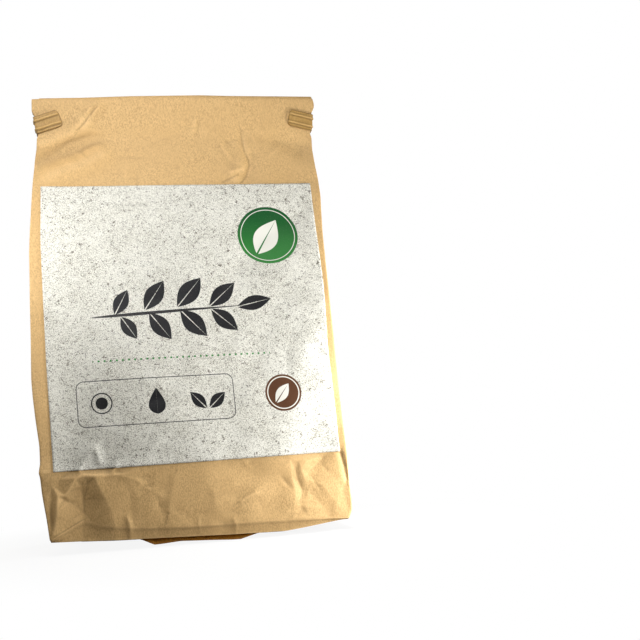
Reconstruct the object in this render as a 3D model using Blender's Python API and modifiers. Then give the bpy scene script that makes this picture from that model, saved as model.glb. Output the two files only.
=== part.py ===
"""A kraft paper produce bag, filled with baby kale and closed with a tin tie, standing on its base.

The bag is a gusseted tube: it is a full box at the base, narrows to four flat layers at the
top and is folded over once to the back, where the mouth lies open under the tin tie.
Metres, +Z up, front towards -Y, origin at the middle of the base.
"""

import math
import random

import bmesh
import bpy
import numpy as np
from mathutils import Matrix, Vector

# Bag
HALF_GUSSET = 0.050
TOP_HEIGHT = 0.3185
MOUTH_HEIGHT = 0.282
PAPER = 0.0004
LAYER_PITCH = 0.0009
GAP = 0.0003
# Height above which the four layers lie flat on each other
FLAT_HEIGHT = 0.286
# The neck, where the tie grips the bag's side folds, and the flare above it
NECK_LOW = 0.288
NECK_HIGH = 0.304
FLARE_HIGH = 0.309
BULGE_FRONT = 0.0035
BULGE_BACK = 0.0045

# The tube's outline seen from the front, as height, half width and sideways shift of its middle
WIDTH_STATIONS = (
    (0.010, 0.0975, 0.0012),
    (0.030, 0.0998, 0.0008),
    (0.055, 0.1006, -0.0004),
    (0.110, 0.1022, -0.0030),
    (0.200, 0.1022, -0.0024),
    (0.250, 0.1016, -0.0002),
    (0.270, 0.1002, 0.0000),
    (0.283, 0.0986, 0.0006),
    (NECK_LOW, 0.0980, 0.0010),
    (NECK_HIGH, 0.1005, 0.0006),
    (FLARE_HIGH, 0.1026, 0.0010),
    (TOP_HEIGHT, 0.1017, 0.0006),
)

# Half depth of the tube over its height
DEPTH_STATIONS = ((0.010, 0.0500), (0.053, 0.0495), (FLAT_HEIGHT, 1.5 * LAYER_PITCH))

# Radius of the tube's vertical folds over its height
RADIUS_STATIONS = ((0.010, 0.0050), (0.060, 0.0035), (0.140, 0.0012), (0.270, LAYER_PITCH / 2))

# Height of the base crease, and of the underside just inside it, at the right and at the left
CREASE_RIGHT = 0.010
CREASE_LEFT = 0.018
STRIP_RIGHT = 0.0035
STRIP_LEFT = 0.0075
STRIP_LOWEST = 0.0011
# The pasted bottom flap reaches forward between these, and carries the front edge
FLAP_LEFT = -0.032
FLAP_RIGHT = 0.032
REST_INSET = 0.016
STRIP_INSET = 0.0018
BASE_RADIUS = 0.005

# Points round a quarter of the tube
PANEL_STEPS = 5
CORNER_STEPS = 4
GUSSET_STEPS = 2
CREASE_STEPS = 2
BODY_ROWS = 15
BEND_ROWS = 6

# Label
LABEL_LEFT = -0.0955
LABEL_RIGHT = 0.0955
LABEL_BOTTOM = 0.0525
LABEL_TOP = 0.2480
LABEL_THICKNESS = 0.0004
LABEL_COLUMNS = 10
LABEL_ROWS = 12

# Tin tie
LEFT_TIE_HEIGHT = 0.2947
RIGHT_TIE_HEIGHT = 0.2967
TIE_WIDTH = 0.0127
TIE_WEB = 0.0008
TIE_RIB = 0.0015
RIB_OFFSET = 0.0031
TAB_LENGTH = 0.0172
LEFT_TAB_ANGLE = math.radians(19)
RIGHT_TAB_ANGLE = math.radians(14)
TAB_CORNER = 0.0018
BEND_RADIUS = 0.0008
BEND_STEPS = 4
WIRE_RADIUS = 0.0003
CHANNEL_RADIUS = 0.00042
WIRE_LEVEL = 0.00075
WIRE_SHORT = 0.0012

# Leaves
LEAF_COUNT = 28
LEAF_LOWEST = 0.018
LEAF_RISE = 0.0062
# The farthest that a leaf reaches from the middle of the pile
LEAF_REACH = 0.060
BLADE_LENGTH = 0.060
BLADE_WIDTH = 0.036
BLADE_THICKNESS = 0.0007
BLADE_ROWS = 5
STALK_LENGTH = 0.030
STALK_RADIUS = 0.0015
GOLDEN_ANGLE = math.radians(137.5)
LEAF_SEED = 11

BEND_CENTRE_OFFSET = 2 * LAYER_PITCH
BEND_HEIGHT = TOP_HEIGHT - BEND_CENTRE_OFFSET - 1.5 * LAYER_PITCH - PAPER / 2


def stations(table, height, column=1):
    """A smooth value read from a short table of heights."""
    return float(np.interp(height, [row[0] for row in table], [row[column] for row in table]))


def smooth_step(start, end, x):
    """0 before start, 1 past end, eased in between."""
    t = min(max((x - start) / (end - start), 0.0), 1.0)
    return t * t * (3 - 2 * t)


def half_width(height):
    return stations(WIDTH_STATIONS, height)


def middle(height):
    return stations(WIDTH_STATIONS, height, 2)


def side_edge(side, height):
    """Distance of a side's folds from the middle plane, with side -1 for the left and 1 for the right."""
    return half_width(height) + side * middle(height)


def half_depth(height):
    return stations(DEPTH_STATIONS, height)


def bulge(height):
    """How far the filling swells the panels at this height, as a share."""
    return smooth_step(0.012, 0.100, height) * (1 - smooth_step(0.180, FLAT_HEIGHT - 0.010, height))


def panel_offset(x, width, depth, height, swell):
    """Distance of a front or back panel from the tube's middle plane."""
    return depth + swell * bulge(height) * (1 - min(1.0, (x / width) ** 2))


def crease_height(x):
    return CREASE_RIGHT + (CREASE_LEFT - CREASE_RIGHT) * smooth_step(0.020, 0.085, -x)


def strip_height(x):
    """Height of the underside near the front edge, down on the floor where the flap is."""
    lift = STRIP_RIGHT + (STRIP_LEFT - STRIP_RIGHT) * smooth_step(0.010, 0.090, -x)
    side = max(FLAP_LEFT - x, x - FLAP_RIGHT)
    return STRIP_LOWEST + lift * smooth_step(0.0, 0.016, side)


def spread(start, end, steps):
    """Values from start to end, without the last one."""
    return list(np.linspace(start, end, steps, endpoint=False))


def gusset_inset(depth):
    """How far the gusset's crease is drawn in: its half panels keep their length."""
    return math.sqrt(max(HALF_GUSSET**2 - depth**2, 0.0)) + 0.0020 * min(1.0, depth / 0.030)


def quarter(width, depth, inset, height, radius, swell):
    """Points (x, depth) from the middle of a panel, round its corner, to the gusset's crease."""
    corner = np.array((width - radius, radius - depth))
    crease = np.array((width - inset + radius, 0.0))
    between = crease - corner
    heading = math.atan2(between[1], between[0])
    heading += math.asin(2 * radius / np.linalg.norm(between))
    start = corner + radius * np.array((math.sin(heading), -math.cos(heading)))
    end = crease + radius * np.array((-math.sin(heading), math.cos(heading)))
    arc = [crease + radius * np.array((-math.sin(b), math.cos(b))) for b in spread(heading, math.pi / 2, 12)]
    route = np.array([start, end, *arc[1:], (crease[0] - radius, 0.0)])
    along = np.concatenate(([0.0], np.cumsum(np.linalg.norm(np.diff(route, axis=0), axis=1))))
    curl = max(along[-1] - along[1], 0.1 * depth)
    stops = spread(0.0, along[-1] - curl, GUSSET_STEPS)
    stops += spread(along[-1] - curl, along[-1], CREASE_STEPS)
    points = [
        (x, -panel_offset(x, width, depth, height, swell))
        for x in spread(0.0, width - radius, PANEL_STEPS)
    ]
    points += [
        tuple(corner + radius * np.array((math.sin(b), -math.cos(b))))
        for b in spread(0.0, heading, CORNER_STEPS)
    ]
    points += [(np.interp(s, along, route[:, 0]), np.interp(s, along, route[:, 1])) for s in stops]
    return points, (crease[0] - radius, 0.0)


def section(width, depth, inset, height, radius):
    """One closed ring of the tube, from the middle of the front to the right, round the back."""
    front, crease = quarter(width, depth, inset, height, radius, BULGE_FRONT)
    back, _ = quarter(width, depth, inset, height, radius, BULGE_BACK)
    right = front + [crease] + [(x, -v) for x, v in reversed(back)]
    left = [(-x, v) for x, v in reversed(right[1:-1])]
    return np.array(right + left)


def body_ring(height):
    """A level ring of the standing tube."""
    depth = half_depth(height)
    radius = stations(RADIUS_STATIONS, height)
    ring = section(half_width(height), depth, gusset_inset(depth), height, radius)
    return [Vector((x + middle(height), v, height)) for x, v in ring]


def base_rings():
    """The ring the base rests on, the ring of the strip that turns under, and the base crease."""
    low = WIDTH_STATIONS[0][0]
    width, depth, shift = half_width(low), half_depth(low), middle(low)
    inset = gusset_inset(depth)
    rest = section(width - REST_INSET, depth - REST_INSET, inset, 0.0, BASE_RADIUS)
    strip = section(width - STRIP_INSET, depth - STRIP_INSET, inset, 0.0, BASE_RADIUS)
    crease = section(width, depth, inset, 0.0, BASE_RADIUS)
    return [
        [Vector((x + shift, v, PAPER / 2)) for x, v in rest],
        [Vector((x + shift, v, strip_height(x))) for x, v in strip],
        [Vector((x + shift, v, crease_height(x))) for x, v in crease],
    ]


def flat_section(height):
    """The ring of four flat layers, as wide as the tube is at this height."""
    depth = 1.5 * LAYER_PITCH
    return section(half_width(height), depth, gusset_inset(depth), TOP_HEIGHT, LAYER_PITCH / 2)


def folded_rings():
    """The rings over the top fold and down the flap behind the bag."""
    ring = flat_section(TOP_HEIGHT)
    shift = middle(TOP_HEIGHT)
    rows = []
    for step in range(BEND_ROWS + 1):
        turn = math.pi * step / BEND_ROWS
        spine_y = BEND_CENTRE_OFFSET * (1 - math.cos(turn))
        spine_z = BEND_HEIGHT + BEND_CENTRE_OFFSET * math.sin(turn)
        rows.append(
            [Vector((x + shift, spine_y + v * math.cos(turn), spine_z - v * math.sin(turn))) for x, v in ring]
        )
    for height in (FLARE_HIGH, NECK_HIGH, NECK_LOW, MOUTH_HEIGHT):
        flap = flat_section(height)
        away = 2 * BEND_CENTRE_OFFSET + 0.3 * max(0.0, 0.2885 - height)
        rows.append([Vector((x + middle(height), away - v, height)) for x, v in flap])
    return rows


def base_patch(ring):
    """Inner points of the flat base: each is blended from the four sides of its ring."""
    corner = PANEL_STEPS + CORNER_STEPS // 2
    quarter_steps = PANEL_STEPS + CORNER_STEPS + GUSSET_STEPS + CREASE_STEPS
    across = 2 * corner
    along = 2 * (quarter_steps - corner)
    count = len(ring)
    names = {}
    for i in range(across + 1):
        names[i, 0] = (i - corner) % count
        names[i, along] = (2 * quarter_steps + corner - i) % count
    for j in range(along + 1):
        names[across, j] = corner + j
        names[0, j] = (count - corner - j) % count
    inner = []
    for i in range(1, across):
        for j in range(1, along):
            u, v = i / across, j / along
            sides = (1 - v) * ring[names[i, 0]] + v * ring[names[i, along]]
            sides += (1 - u) * ring[names[0, j]] + u * ring[names[across, j]]
            corners = (1 - u) * (1 - v) * ring[names[0, 0]] + u * (1 - v) * ring[names[across, 0]]
            corners += (1 - u) * v * ring[names[0, along]] + u * v * ring[names[across, along]]
            names[i, j] = count + len(inner)
            inner.append(sides - corners)
    quads = [
        (names[i, j], names[i, j + 1], names[i + 1, j + 1], names[i + 1, j])
        for i in range(across)
        for j in range(along)
    ]
    return inner, quads


def colour_material(name, colour, roughness, metallic=0.0):
    material = bpy.data.materials.new(name)
    material.use_nodes = True
    shader = material.node_tree.nodes["Principled BSDF"]
    shader.inputs["Base Color"].default_value = (*colour, 1.0)
    shader.inputs["Roughness"].default_value = roughness
    shader.inputs["Metallic"].default_value = metallic
    return material


def mesh_object(name, points, faces, material, collection):
    """A new object from points and faces, cut into triangles so that both sides of a sheet match."""
    mesh = bpy.data.meshes.new(name)
    mesh.from_pydata([tuple(p) for p in points], [], faces)
    shape = bmesh.new()
    shape.from_mesh(mesh)
    bmesh.ops.triangulate(shape, faces=shape.faces[:], quad_method="FIXED")
    shape.to_mesh(mesh)
    shape.free()
    mesh.materials.append(material)
    mesh.shade_smooth()
    mesh.set_sharp_from_angle(angle=math.radians(35))
    obj = bpy.data.objects.new(name, mesh)
    collection.objects.link(obj)
    return obj


def thicken(obj, thickness, offset=0.0):
    modifier = obj.modifiers.new("Thickness", "SOLIDIFY")
    modifier.thickness = thickness
    modifier.offset = offset
    modifier.use_even_offset = True


def make_bag(collection):
    rest, strip, crease = base_rings()
    inner, faces = base_patch(rest)
    heights = np.linspace(crease_height(-1.0) + 0.004, FLAT_HEIGHT - 0.001, BODY_ROWS)
    rows = [strip, crease]
    rows += [body_ring(float(height)) for height in heights]
    rows += [body_ring(height) for height in (NECK_LOW, NECK_HIGH, FLARE_HIGH)]
    rows += folded_rings()
    points = rest + inner
    below = 0
    count = len(rest)
    for row in rows:
        start = len(points)
        points += row
        for i in range(count):
            j = (i + 1) % count
            faces.append((below + i, below + j, start + j, start + i))
        below = start
    material = colour_material("kraft_paper", (0.66, 0.45, 0.22), 0.62)
    bag = mesh_object("paper_bag", points, faces, material, collection)
    thicken(bag, PAPER)
    return bag


def label_point(x, height):
    """A point of the label's back, clear of the front panel."""
    width, depth = half_width(height), half_depth(height)
    away = panel_offset(x - middle(height), width, depth, height, BULGE_FRONT) + PAPER / 2 + GAP
    return Vector((x, -away, height))


def make_label(collection):
    points = [
        label_point(x, height)
        for height in np.linspace(LABEL_BOTTOM, LABEL_TOP, LABEL_ROWS + 1)
        for x in np.linspace(LABEL_LEFT, LABEL_RIGHT, LABEL_COLUMNS + 1)
    ]
    faces = []
    for row in range(LABEL_ROWS):
        for column in range(LABEL_COLUMNS):
            first = row * (LABEL_COLUMNS + 1) + column
            above = first + LABEL_COLUMNS + 1
            faces.append((first, first + 1, above + 1, above))
    material = colour_material("label_paper", (0.83, 0.81, 0.75), 0.45)
    label = mesh_object("front_label", points, faces, material, collection)
    thicken(label, LABEL_THICKNESS, 1.0)
    return label


def tie_path():
    """The tie's inner face from the left tab's end, round the back, to the right tab's end.

    Each entry is a point, the direction along the tie and the direction out of its face.
    """
    front = -(1.5 * LAYER_PITCH + PAPER / 2 + GAP)
    back = 2 * BEND_CENTRE_OFFSET - front
    sides = ((-1, LEFT_TAB_ANGLE, LEFT_TIE_HEIGHT), (1, RIGHT_TAB_ANGLE, RIGHT_TIE_HEIGHT))
    forwards, backwards = Vector((0, -1, 0)), Vector((0, 1, 0))
    path = []
    for side, tilt, level in sides:
        half = []
        turn_x = side * (side_edge(side, level) + PAPER / 2 + GAP - BEND_RADIUS)
        lean = math.atan2(side_edge(side, NECK_HIGH) - side_edge(side, NECK_LOW), NECK_HIGH - NECK_LOW)
        outwards = Vector((side * math.cos(tilt), 0.0, -math.sin(tilt)))
        # Out of the bag's side fold, which leans outwards at the neck
        sideways = Vector((side * math.cos(lean), 0.0, -math.sin(lean)))
        start = Vector((turn_x, front, level))
        for share in (TAB_LENGTH, TAB_LENGTH - 0.0006, TAB_LENGTH - TAB_CORNER, TAB_LENGTH / 2):
            half.append((start - outwards * share, outwards, forwards))
        for step in range(BEND_STEPS + 1):
            turn = math.pi / 2 * step / BEND_STEPS
            face = sideways * math.sin(turn) + forwards * math.cos(turn)
            centre = Vector((turn_x, front + BEND_RADIUS, level))
            heading = outwards * math.cos(turn) + backwards * math.sin(turn)
            half.append((centre + face * BEND_RADIUS, heading, face))
        for step in range(BEND_STEPS + 1):
            turn = math.pi / 2 * step / BEND_STEPS
            face = sideways * math.cos(turn) + backwards * math.sin(turn)
            centre = Vector((turn_x, back - BEND_RADIUS, level))
            heading = Vector((-side * math.sin(turn), math.cos(turn), 0))
            half.append((centre + face * BEND_RADIUS, heading, face))
        if side == 1:
            half = [(point, -heading, face) for point, heading, face in reversed(half)]
        path += half
    return path


def tie_frames():
    """Point, direction up the tie's width and direction out of its face, at each path entry."""
    frames = []
    for point, heading, face in tie_path():
        up = heading.cross(face).normalized()
        frames.append((point, up, up.cross(heading).normalized()))
    return frames


def tie_section(half):
    """The tie's cross-section: flat at the back, with a rib over each wire."""
    rib = [
        (RIB_OFFSET + 0.0010, TIE_WEB),
        (RIB_OFFSET + 0.0005, TIE_RIB),
        (RIB_OFFSET - 0.0005, TIE_RIB),
        (RIB_OFFSET - 0.0010, TIE_WEB),
    ]
    top = [(half, TIE_WEB / 2), (half - 0.0005, TIE_WEB), *rib]
    top += [(-b, n) for b, n in reversed(rib)]
    top += [(0.0005 - half, TIE_WEB), (-half, TIE_WEB / 2)]
    return [(-half, 0.0), (half, 0.0), *top]


def wire_object(name, level, radius, past, material, collection):
    """A round bar along the tie, level with one rib, ending this far past the tie's ends."""
    route = [point + up * level + face * WIRE_LEVEL for point, up, face in tie_frames()]
    route[0] += (route[0] - route[1]).normalized() * past
    route[-1] += (route[-1] - route[-2]).normalized() * past
    if past < 0:
        route = [route[0], *route[3:-3], route[-1]]
    curve = bpy.data.curves.new(name, "CURVE")
    curve.dimensions = "3D"
    curve.bevel_depth = radius
    curve.bevel_resolution = 2
    curve.use_fill_caps = True
    spline = curve.splines.new("POLY")
    spline.points.add(len(route) - 1)
    for slot, point in zip(spline.points, route):
        slot.co = (*point, 1.0)
    curve.materials.append(material)
    obj = bpy.data.objects.new(name, curve)
    collection.objects.link(obj)
    return obj


def as_mesh(obj, collection):
    """The curve object's shape as a welded mesh object, which can be used as a cutter."""
    name = obj.name
    bpy.context.view_layer.update()
    evaluated = obj.evaluated_get(bpy.context.evaluated_depsgraph_get())
    mesh = bpy.data.meshes.new_from_object(evaluated)
    shape = bmesh.new()
    shape.from_mesh(mesh)
    bmesh.ops.remove_doubles(shape, verts=shape.verts[:], dist=1e-6)
    bmesh.ops.recalc_face_normals(shape, faces=shape.faces[:])
    shape.to_mesh(mesh)
    shape.free()
    bpy.data.objects.remove(obj)
    cutter = bpy.data.objects.new(name, mesh)
    cutter.hide_render = True
    cutter.display_type = "WIRE"
    collection.objects.link(cutter)
    return cutter


def make_tie(collection, cutters):
    frames = tie_frames()
    points = []
    ends = {0: TAB_CORNER, 1: 0.0005}
    for index, (point, up, face) in enumerate(frames):
        narrowed = ends.get(min(index, len(frames) - 1 - index), 0.0)
        for b, n in tie_section(TIE_WIDTH / 2 - narrowed):
            points.append(point + up * b + face * n)
    count = len(tie_section(TIE_WIDTH / 2))
    faces = []
    for row in range(len(frames) - 1):
        for i in range(count):
            j = (i + 1) % count
            first, second = row * count, (row + 1) * count
            faces.append((first + j, first + i, second + i, second + j))
    last = (len(frames) - 1) * count
    faces.append(tuple(range(count)))
    faces.append(tuple(last + i for i in reversed(range(count))))
    paper = colour_material("tie_paper", (0.48, 0.34, 0.15), 0.5)
    steel = colour_material("tie_wire", (0.55, 0.55, 0.56), 0.35, 1.0)
    strip = mesh_object("tie_strip", points, faces, paper, collection)
    shape = bmesh.new()
    shape.from_mesh(strip.data)
    bmesh.ops.recalc_face_normals(shape, faces=shape.faces[:])
    shape.to_mesh(strip.data)
    shape.free()
    for name, level in (("upper", RIB_OFFSET), ("lower", -RIB_OFFSET)):
        wire_object(f"tie_wire_{name}", level, WIRE_RADIUS, -WIRE_SHORT, steel, collection)
        bar = wire_object(f"{name}_channel", level, CHANNEL_RADIUS, 0.002, steel, cutters)
        cut = strip.modifiers.new(f"{name} channel", "BOOLEAN")
        cut.operation = "DIFFERENCE"
        cut.object = as_mesh(bar, cutters)
    return strip


def blade_points(draw):
    """Midrib and waved margins of one blade, in rows from its base to its tip."""
    wave = draw.uniform(0, 2 * math.pi)
    cup = draw.uniform(0.12, 0.30)
    points = []
    for row in range(BLADE_ROWS):
        t = row / (BLADE_ROWS - 1)
        half = BLADE_WIDTH / 2 * max(0.16, math.sin(math.pi * (0.08 + 0.84 * t)) ** 0.8)
        half *= 1.0 + 0.13 * math.cos(math.pi * row)
        arch = -0.010 * (2 * t - 1) ** 2
        x = BLADE_LENGTH * (t - 0.5)
        for side in (-1, 0, 1):
            ruffle = 0.0035 * math.sin(wave + 2.3 * row + side) * abs(side)
            points.append(Vector((x, side * half, arch + cup * half * abs(side) + ruffle)))
    return points


def make_leaf(index, draw, material, collection):
    """One leaf with its stalk, laid in the pile at its own height and turned by the golden angle."""
    points = blade_points(draw)
    height = LEAF_LOWEST + index * LEAF_RISE
    place = Matrix.Translation((draw.uniform(-0.006, 0.006), 0, height + 0.006))
    place @= Matrix.Rotation(index * GOLDEN_ANGLE, 4, "Z")
    place @= Matrix.Rotation(math.radians(draw.uniform(10, 16)), 4, "Y")
    place @= Matrix.Rotation(math.radians(draw.uniform(-12, 12)), 4, "X")
    squeeze = Matrix.Diagonal((1, min(1.0, (half_depth(height + 0.018) - 0.004) / LEAF_REACH), 1, 1))
    faces = []
    for row in range(BLADE_ROWS - 1):
        for side in (0, 1):
            first = 3 * row + side
            faces.append((first, first + 3, first + 4, first + 1))
    blade = mesh_object(f"blade_{index}", points, faces, material, collection)
    thicken(blade, BLADE_THICKNESS)
    blade.matrix_world = squeeze @ place
    bpy.ops.mesh.primitive_cone_add(
        vertices=5, radius1=STALK_RADIUS, radius2=STALK_RADIUS * 0.6, depth=STALK_LENGTH + BLADE_LENGTH / 3
    )
    stalk = bpy.context.object
    stalk.name = f"stalk_{index}"
    stalk.data.materials.append(material)
    for owner in list(stalk.users_collection):
        owner.objects.unlink(stalk)
    collection.objects.link(stalk)
    reach = -(BLADE_LENGTH + STALK_LENGTH - BLADE_LENGTH / 3) / 2
    lie = Matrix.Translation((reach * 0.86, 0, -0.0095)) @ Matrix.Rotation(math.radians(90), 4, "Y")
    stalk.matrix_world = squeeze @ place @ Matrix.Rotation(math.radians(-5), 4, "Y") @ lie


def keep_main_body(mesh):
    """Fills the hollows that fusing sealed and drops loose scraps: the largest shell stays."""
    shape = bmesh.new()
    shape.from_mesh(mesh)
    left = set(shape.verts)
    shells = []
    while left:
        reached = {left.pop()}
        edge_of_search = list(reached)
        while edge_of_search:
            vertex = edge_of_search.pop()
            for edge in vertex.link_edges:
                other = edge.other_vert(vertex)
                if other in left:
                    left.discard(other)
                    reached.add(other)
                    edge_of_search.append(other)
        shells.append(reached)
    shells.sort(key=len)
    bmesh.ops.delete(shape, geom=[v for shell in shells[:-1] for v in shell], context="VERTS")
    shape.to_mesh(mesh)
    shape.free()


def make_leaves(collection):
    """All the leaves as one fused pile: each crosses its neighbours above and below."""
    draw = random.Random(LEAF_SEED)
    material = colour_material("kale_leaf", (0.05, 0.16, 0.04), 0.45)
    loose = bpy.data.collections.new("loose_leaves")
    bpy.context.scene.collection.children.link(loose)
    for index in range(LEAF_COUNT):
        make_leaf(index, draw, material, loose)
    bpy.context.view_layer.update()
    graph = bpy.context.evaluated_depsgraph_get()
    for obj in list(loose.objects):
        mesh = bpy.data.meshes.new_from_object(obj.evaluated_get(graph))
        mesh.transform(obj.matrix_world)
        solid = bpy.data.objects.new(obj.name + "_solid", mesh)
        loose.objects.link(solid)
        bpy.data.objects.remove(obj)
    first = loose.objects[0]
    pile = bpy.data.objects.new("kale_leaves", first.data.copy())
    collection.objects.link(pile)
    bpy.data.objects.remove(first)
    join = pile.modifiers.new("Join", "BOOLEAN")
    join.operation = "UNION"
    join.operand_type = "COLLECTION"
    join.collection = loose
    join.solver = "MANIFOLD"
    bpy.context.view_layer.update()
    joined = bpy.data.meshes.new_from_object(pile.evaluated_get(bpy.context.evaluated_depsgraph_get()))
    pile.modifiers.clear()
    keep_main_body(joined)
    pile.data = joined
    for obj in list(loose.objects):
        bpy.data.objects.remove(obj)
    bpy.data.collections.remove(loose)
    return pile


def clear_scene():
    for obj in list(bpy.data.objects):
        bpy.data.objects.remove(obj)


def new_collection(name):
    collection = bpy.data.collections.new(name)
    bpy.context.scene.collection.children.link(collection)
    return collection


def main():
    clear_scene()
    parts = new_collection("kraft_produce_bag")
    cutters = new_collection("cutters")
    make_bag(parts)
    make_label(parts)
    make_tie(parts, cutters)
    make_leaves(parts)


main()
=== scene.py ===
"""Looks of a filled kraft paper produce bag, closed with a tin tie and standing on its base.

The bag, its label and the tin tie are remade as fine surfaces from the same named sizes as the
CAD model, and three sheets of the folded bottom are added under it. The leaves and the wires
inside keep their CAD shapes.
"""

import math

import bpy
import numpy as np
from mathutils import Matrix, Vector
from mathutils.geometry import delaunay_2d_cdt


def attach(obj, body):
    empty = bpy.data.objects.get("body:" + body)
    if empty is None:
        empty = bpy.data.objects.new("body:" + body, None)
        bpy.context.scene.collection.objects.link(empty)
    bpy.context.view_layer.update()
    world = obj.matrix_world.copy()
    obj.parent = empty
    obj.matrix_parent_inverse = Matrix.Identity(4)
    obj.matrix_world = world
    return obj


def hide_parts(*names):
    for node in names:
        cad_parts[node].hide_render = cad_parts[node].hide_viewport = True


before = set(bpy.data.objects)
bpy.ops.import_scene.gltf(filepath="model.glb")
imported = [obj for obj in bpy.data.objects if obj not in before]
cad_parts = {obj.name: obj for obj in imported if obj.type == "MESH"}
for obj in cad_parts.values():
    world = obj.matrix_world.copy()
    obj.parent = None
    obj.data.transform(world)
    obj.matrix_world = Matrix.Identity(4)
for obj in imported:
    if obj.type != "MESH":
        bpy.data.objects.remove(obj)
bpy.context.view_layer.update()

# Bag, in metres: the same sizes as the CAD model
HALF_GUSSET = 0.050
GUSSET_EDGE = 0.049
TOP_HEIGHT = 0.3185
MOUTH_HEIGHT = 0.282
PAPER = 0.0004
LAYER_PITCH = 0.0009
FLAT_DEPTH = 1.5 * LAYER_PITCH
FLAT_HEIGHT = 0.286
NECK_LOW = 0.288
NECK_HIGH = 0.304
CLEARANCE = 0.0003
BULGE_FRONT = 0.0035
BULGE_BACK = 0.0045
BEND_OFFSET = 2 * LAYER_PITCH
BEND_HEIGHT = TOP_HEIGHT - BEND_OFFSET - FLAT_DEPTH - PAPER / 2
# Height of the line that the flat bag's folded bottom left across its panels
CROSS_CREASE = 0.053

# Outline seen from the front, as height and distance of the side fold from the middle
LEFT_EDGE = (
    (0.009, 0.0966), (0.025, 0.0985), (0.040, 0.1006), (0.050, 0.1014), (0.0535, 0.1022),
    (0.058, 0.1012), (0.070, 0.1014), (0.085, 0.1032), (0.101, 0.1048), (0.113, 0.1056),
    (0.200, 0.1052), (0.216, 0.1044), (0.242, 0.1026), (0.255, 0.1016), (0.269, 0.1002),
    (0.2775, 0.0986), (0.2855, 0.0982), (NECK_LOW, 0.0970), (NECK_HIGH, 0.0998), (0.307, 0.1012),
    (TOP_HEIGHT, 0.1010),
)
RIGHT_EDGE = (
    (0.009, 0.0972), (0.015, 0.1000), (0.022, 0.1004), (0.036, 0.0998), (0.054, 0.0994),
    (0.087, 0.0988), (0.150, 0.0990), (0.200, 0.0998), (0.238, 0.1016), (0.251, 0.1014),
    (0.263, 0.1002), (0.275, 0.0996), (0.2855, 0.1000), (NECK_LOW, 0.0990), (NECK_HIGH, 0.1011),
    (0.309, 0.1034), (0.3120, 0.1035), (TOP_HEIGHT, 0.1022),
)
DEPTH_STATIONS = ((0.010, 0.0500), (CROSS_CREASE, 0.0495), (FLAT_HEIGHT, FLAT_DEPTH))
RADIUS_STATIONS = ((0.010, 0.0009), (0.140, 0.0009), (0.270, LAYER_PITCH / 2))
# Reach of the rounding where the outline and the depth are read
EDGE_REACH = 0.0010
DEPTH_REACH = 0.003

# Front edge of the base, as x and height: the crease above, and the end of the strip under it
BASE_CREASE = (
    (-0.0970, 0.0100), (-0.0756, 0.0212), (-0.0648, 0.0174), (-0.0553, 0.0159), (-0.0465, 0.0141),
    (-0.0090, 0.0119), (0.0370, 0.0112), (0.0600, 0.0103), (0.0940, 0.0082),
)
STRIP_END = (
    (-0.0966, 0.0090), (-0.0778, 0.0082), (-0.0474, 0.0067), (-0.0158, 0.0055), (0.0214, 0.0040),
    (0.0556, 0.0033), (0.0670, 0.0044), (0.0926, 0.0074),
)
# The crease's slanting part in the lower left corner ends at this x
CORNER_FOLD_END = -0.0750
PLAIN_CREASE = 0.0100
PLAIN_STRIP = 0.0055
# How far the flat base and the strip's end lie in from the outline, and the strip's narrowing
REST_INSET = 0.016
STRIP_INSET = 0.0017
STRIP_NARROWING = 0.0006
# Slope of the underside, from the strip's end down to the flat base
UNDER_SLOPE = 0.095
UNDER_LEVEL = PAPER / 2 + 0.0006

# Points of a quarter ring, and rows of the tube from its base to its mouth
FRONT_STEPS = 116
BACK_STEPS = 26
CORNER_STEPS = 6
GUSSET_STEPS = 9
CURL_STEPS = 3
UNDER_ROWS = 12
STRIP_ROWS = 5
LOW_ROWS = 72
BODY_ROWS = 70
TOP_ROWS = 66
BEND_ROWS = 10
FLAP_ROWS = 16
LABEL_ZONE_TOP = 0.246

# Flap behind the top fold: below this height it stands off the bag, at this slope
FLAP_FREE = 0.2885
FLAP_SLOPE = 0.3
TOOTH_PITCH = 0.0040
TOOTH_HEIGHT = 0.0012
# Lining of the mouth: steps inwards from its edge, and up
MOUTH_LINING = ((0.00016, -0.00002), (0.00030, 0.0004), (0.00030, 0.0040), (0.00030, 0.0090))

# Height of the top fold over the width, added to the level one
TOP_LINE = (
    (-0.102, -0.0037), (-0.0964, -0.0035), (-0.0956, -0.0030), (-0.067, -0.0024),
    (-0.032, -0.0010), (0.018, 0.0), (0.040, -0.0004), (0.102, -0.0006),
)

# Label, as height and x of its side edges
LABEL_LEFT = ((0.0525, -0.0932), (0.126, -0.0960), (0.208, -0.0976), (0.249, -0.0966))
LABEL_RIGHT = ((0.0525, 0.0944), (0.122, 0.0936), (0.173, 0.0958), (0.249, 0.0948))
LABEL_BOTTOM = 0.0528
LABEL_TOP = 0.2484
LABEL_LIFT = 0.0002
LABEL_THICKNESS = 0.00025
LABEL_COLUMNS = 172
LABEL_ROWS = 176
LABEL_REACH = 0.002

# Tin tie
LEFT_TIE_HEIGHT = 0.2947
RIGHT_TIE_HEIGHT = 0.2967
TIE_WIDTH = 0.0127
TIE_WEB = 0.0008
TIE_RIB = 0.0015
RIB_OFFSET = 0.0031
TAB_LENGTH = 0.0172
LEFT_TAB_ANGLE = math.radians(19)
RIGHT_TAB_ANGLE = math.radians(14)
TAB_CORNER = 0.0030
TIE_BEND = 0.0008
RIB_WIDTH = 0.0007
RIB_END = (0.0, 0.0016)
RIM_START = 0.94
# Painted shade along the tie's cut edge: none past the first distance from it, full within the
# second
RIM_SHADE = (0.0009, 0.0002)
# Painted shadow line beside each rib: its shift off the rib and its width
RIB_SHADOW_SHIFT = 0.0012
RIB_SHADOW_WIDTH = 0.0005

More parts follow.
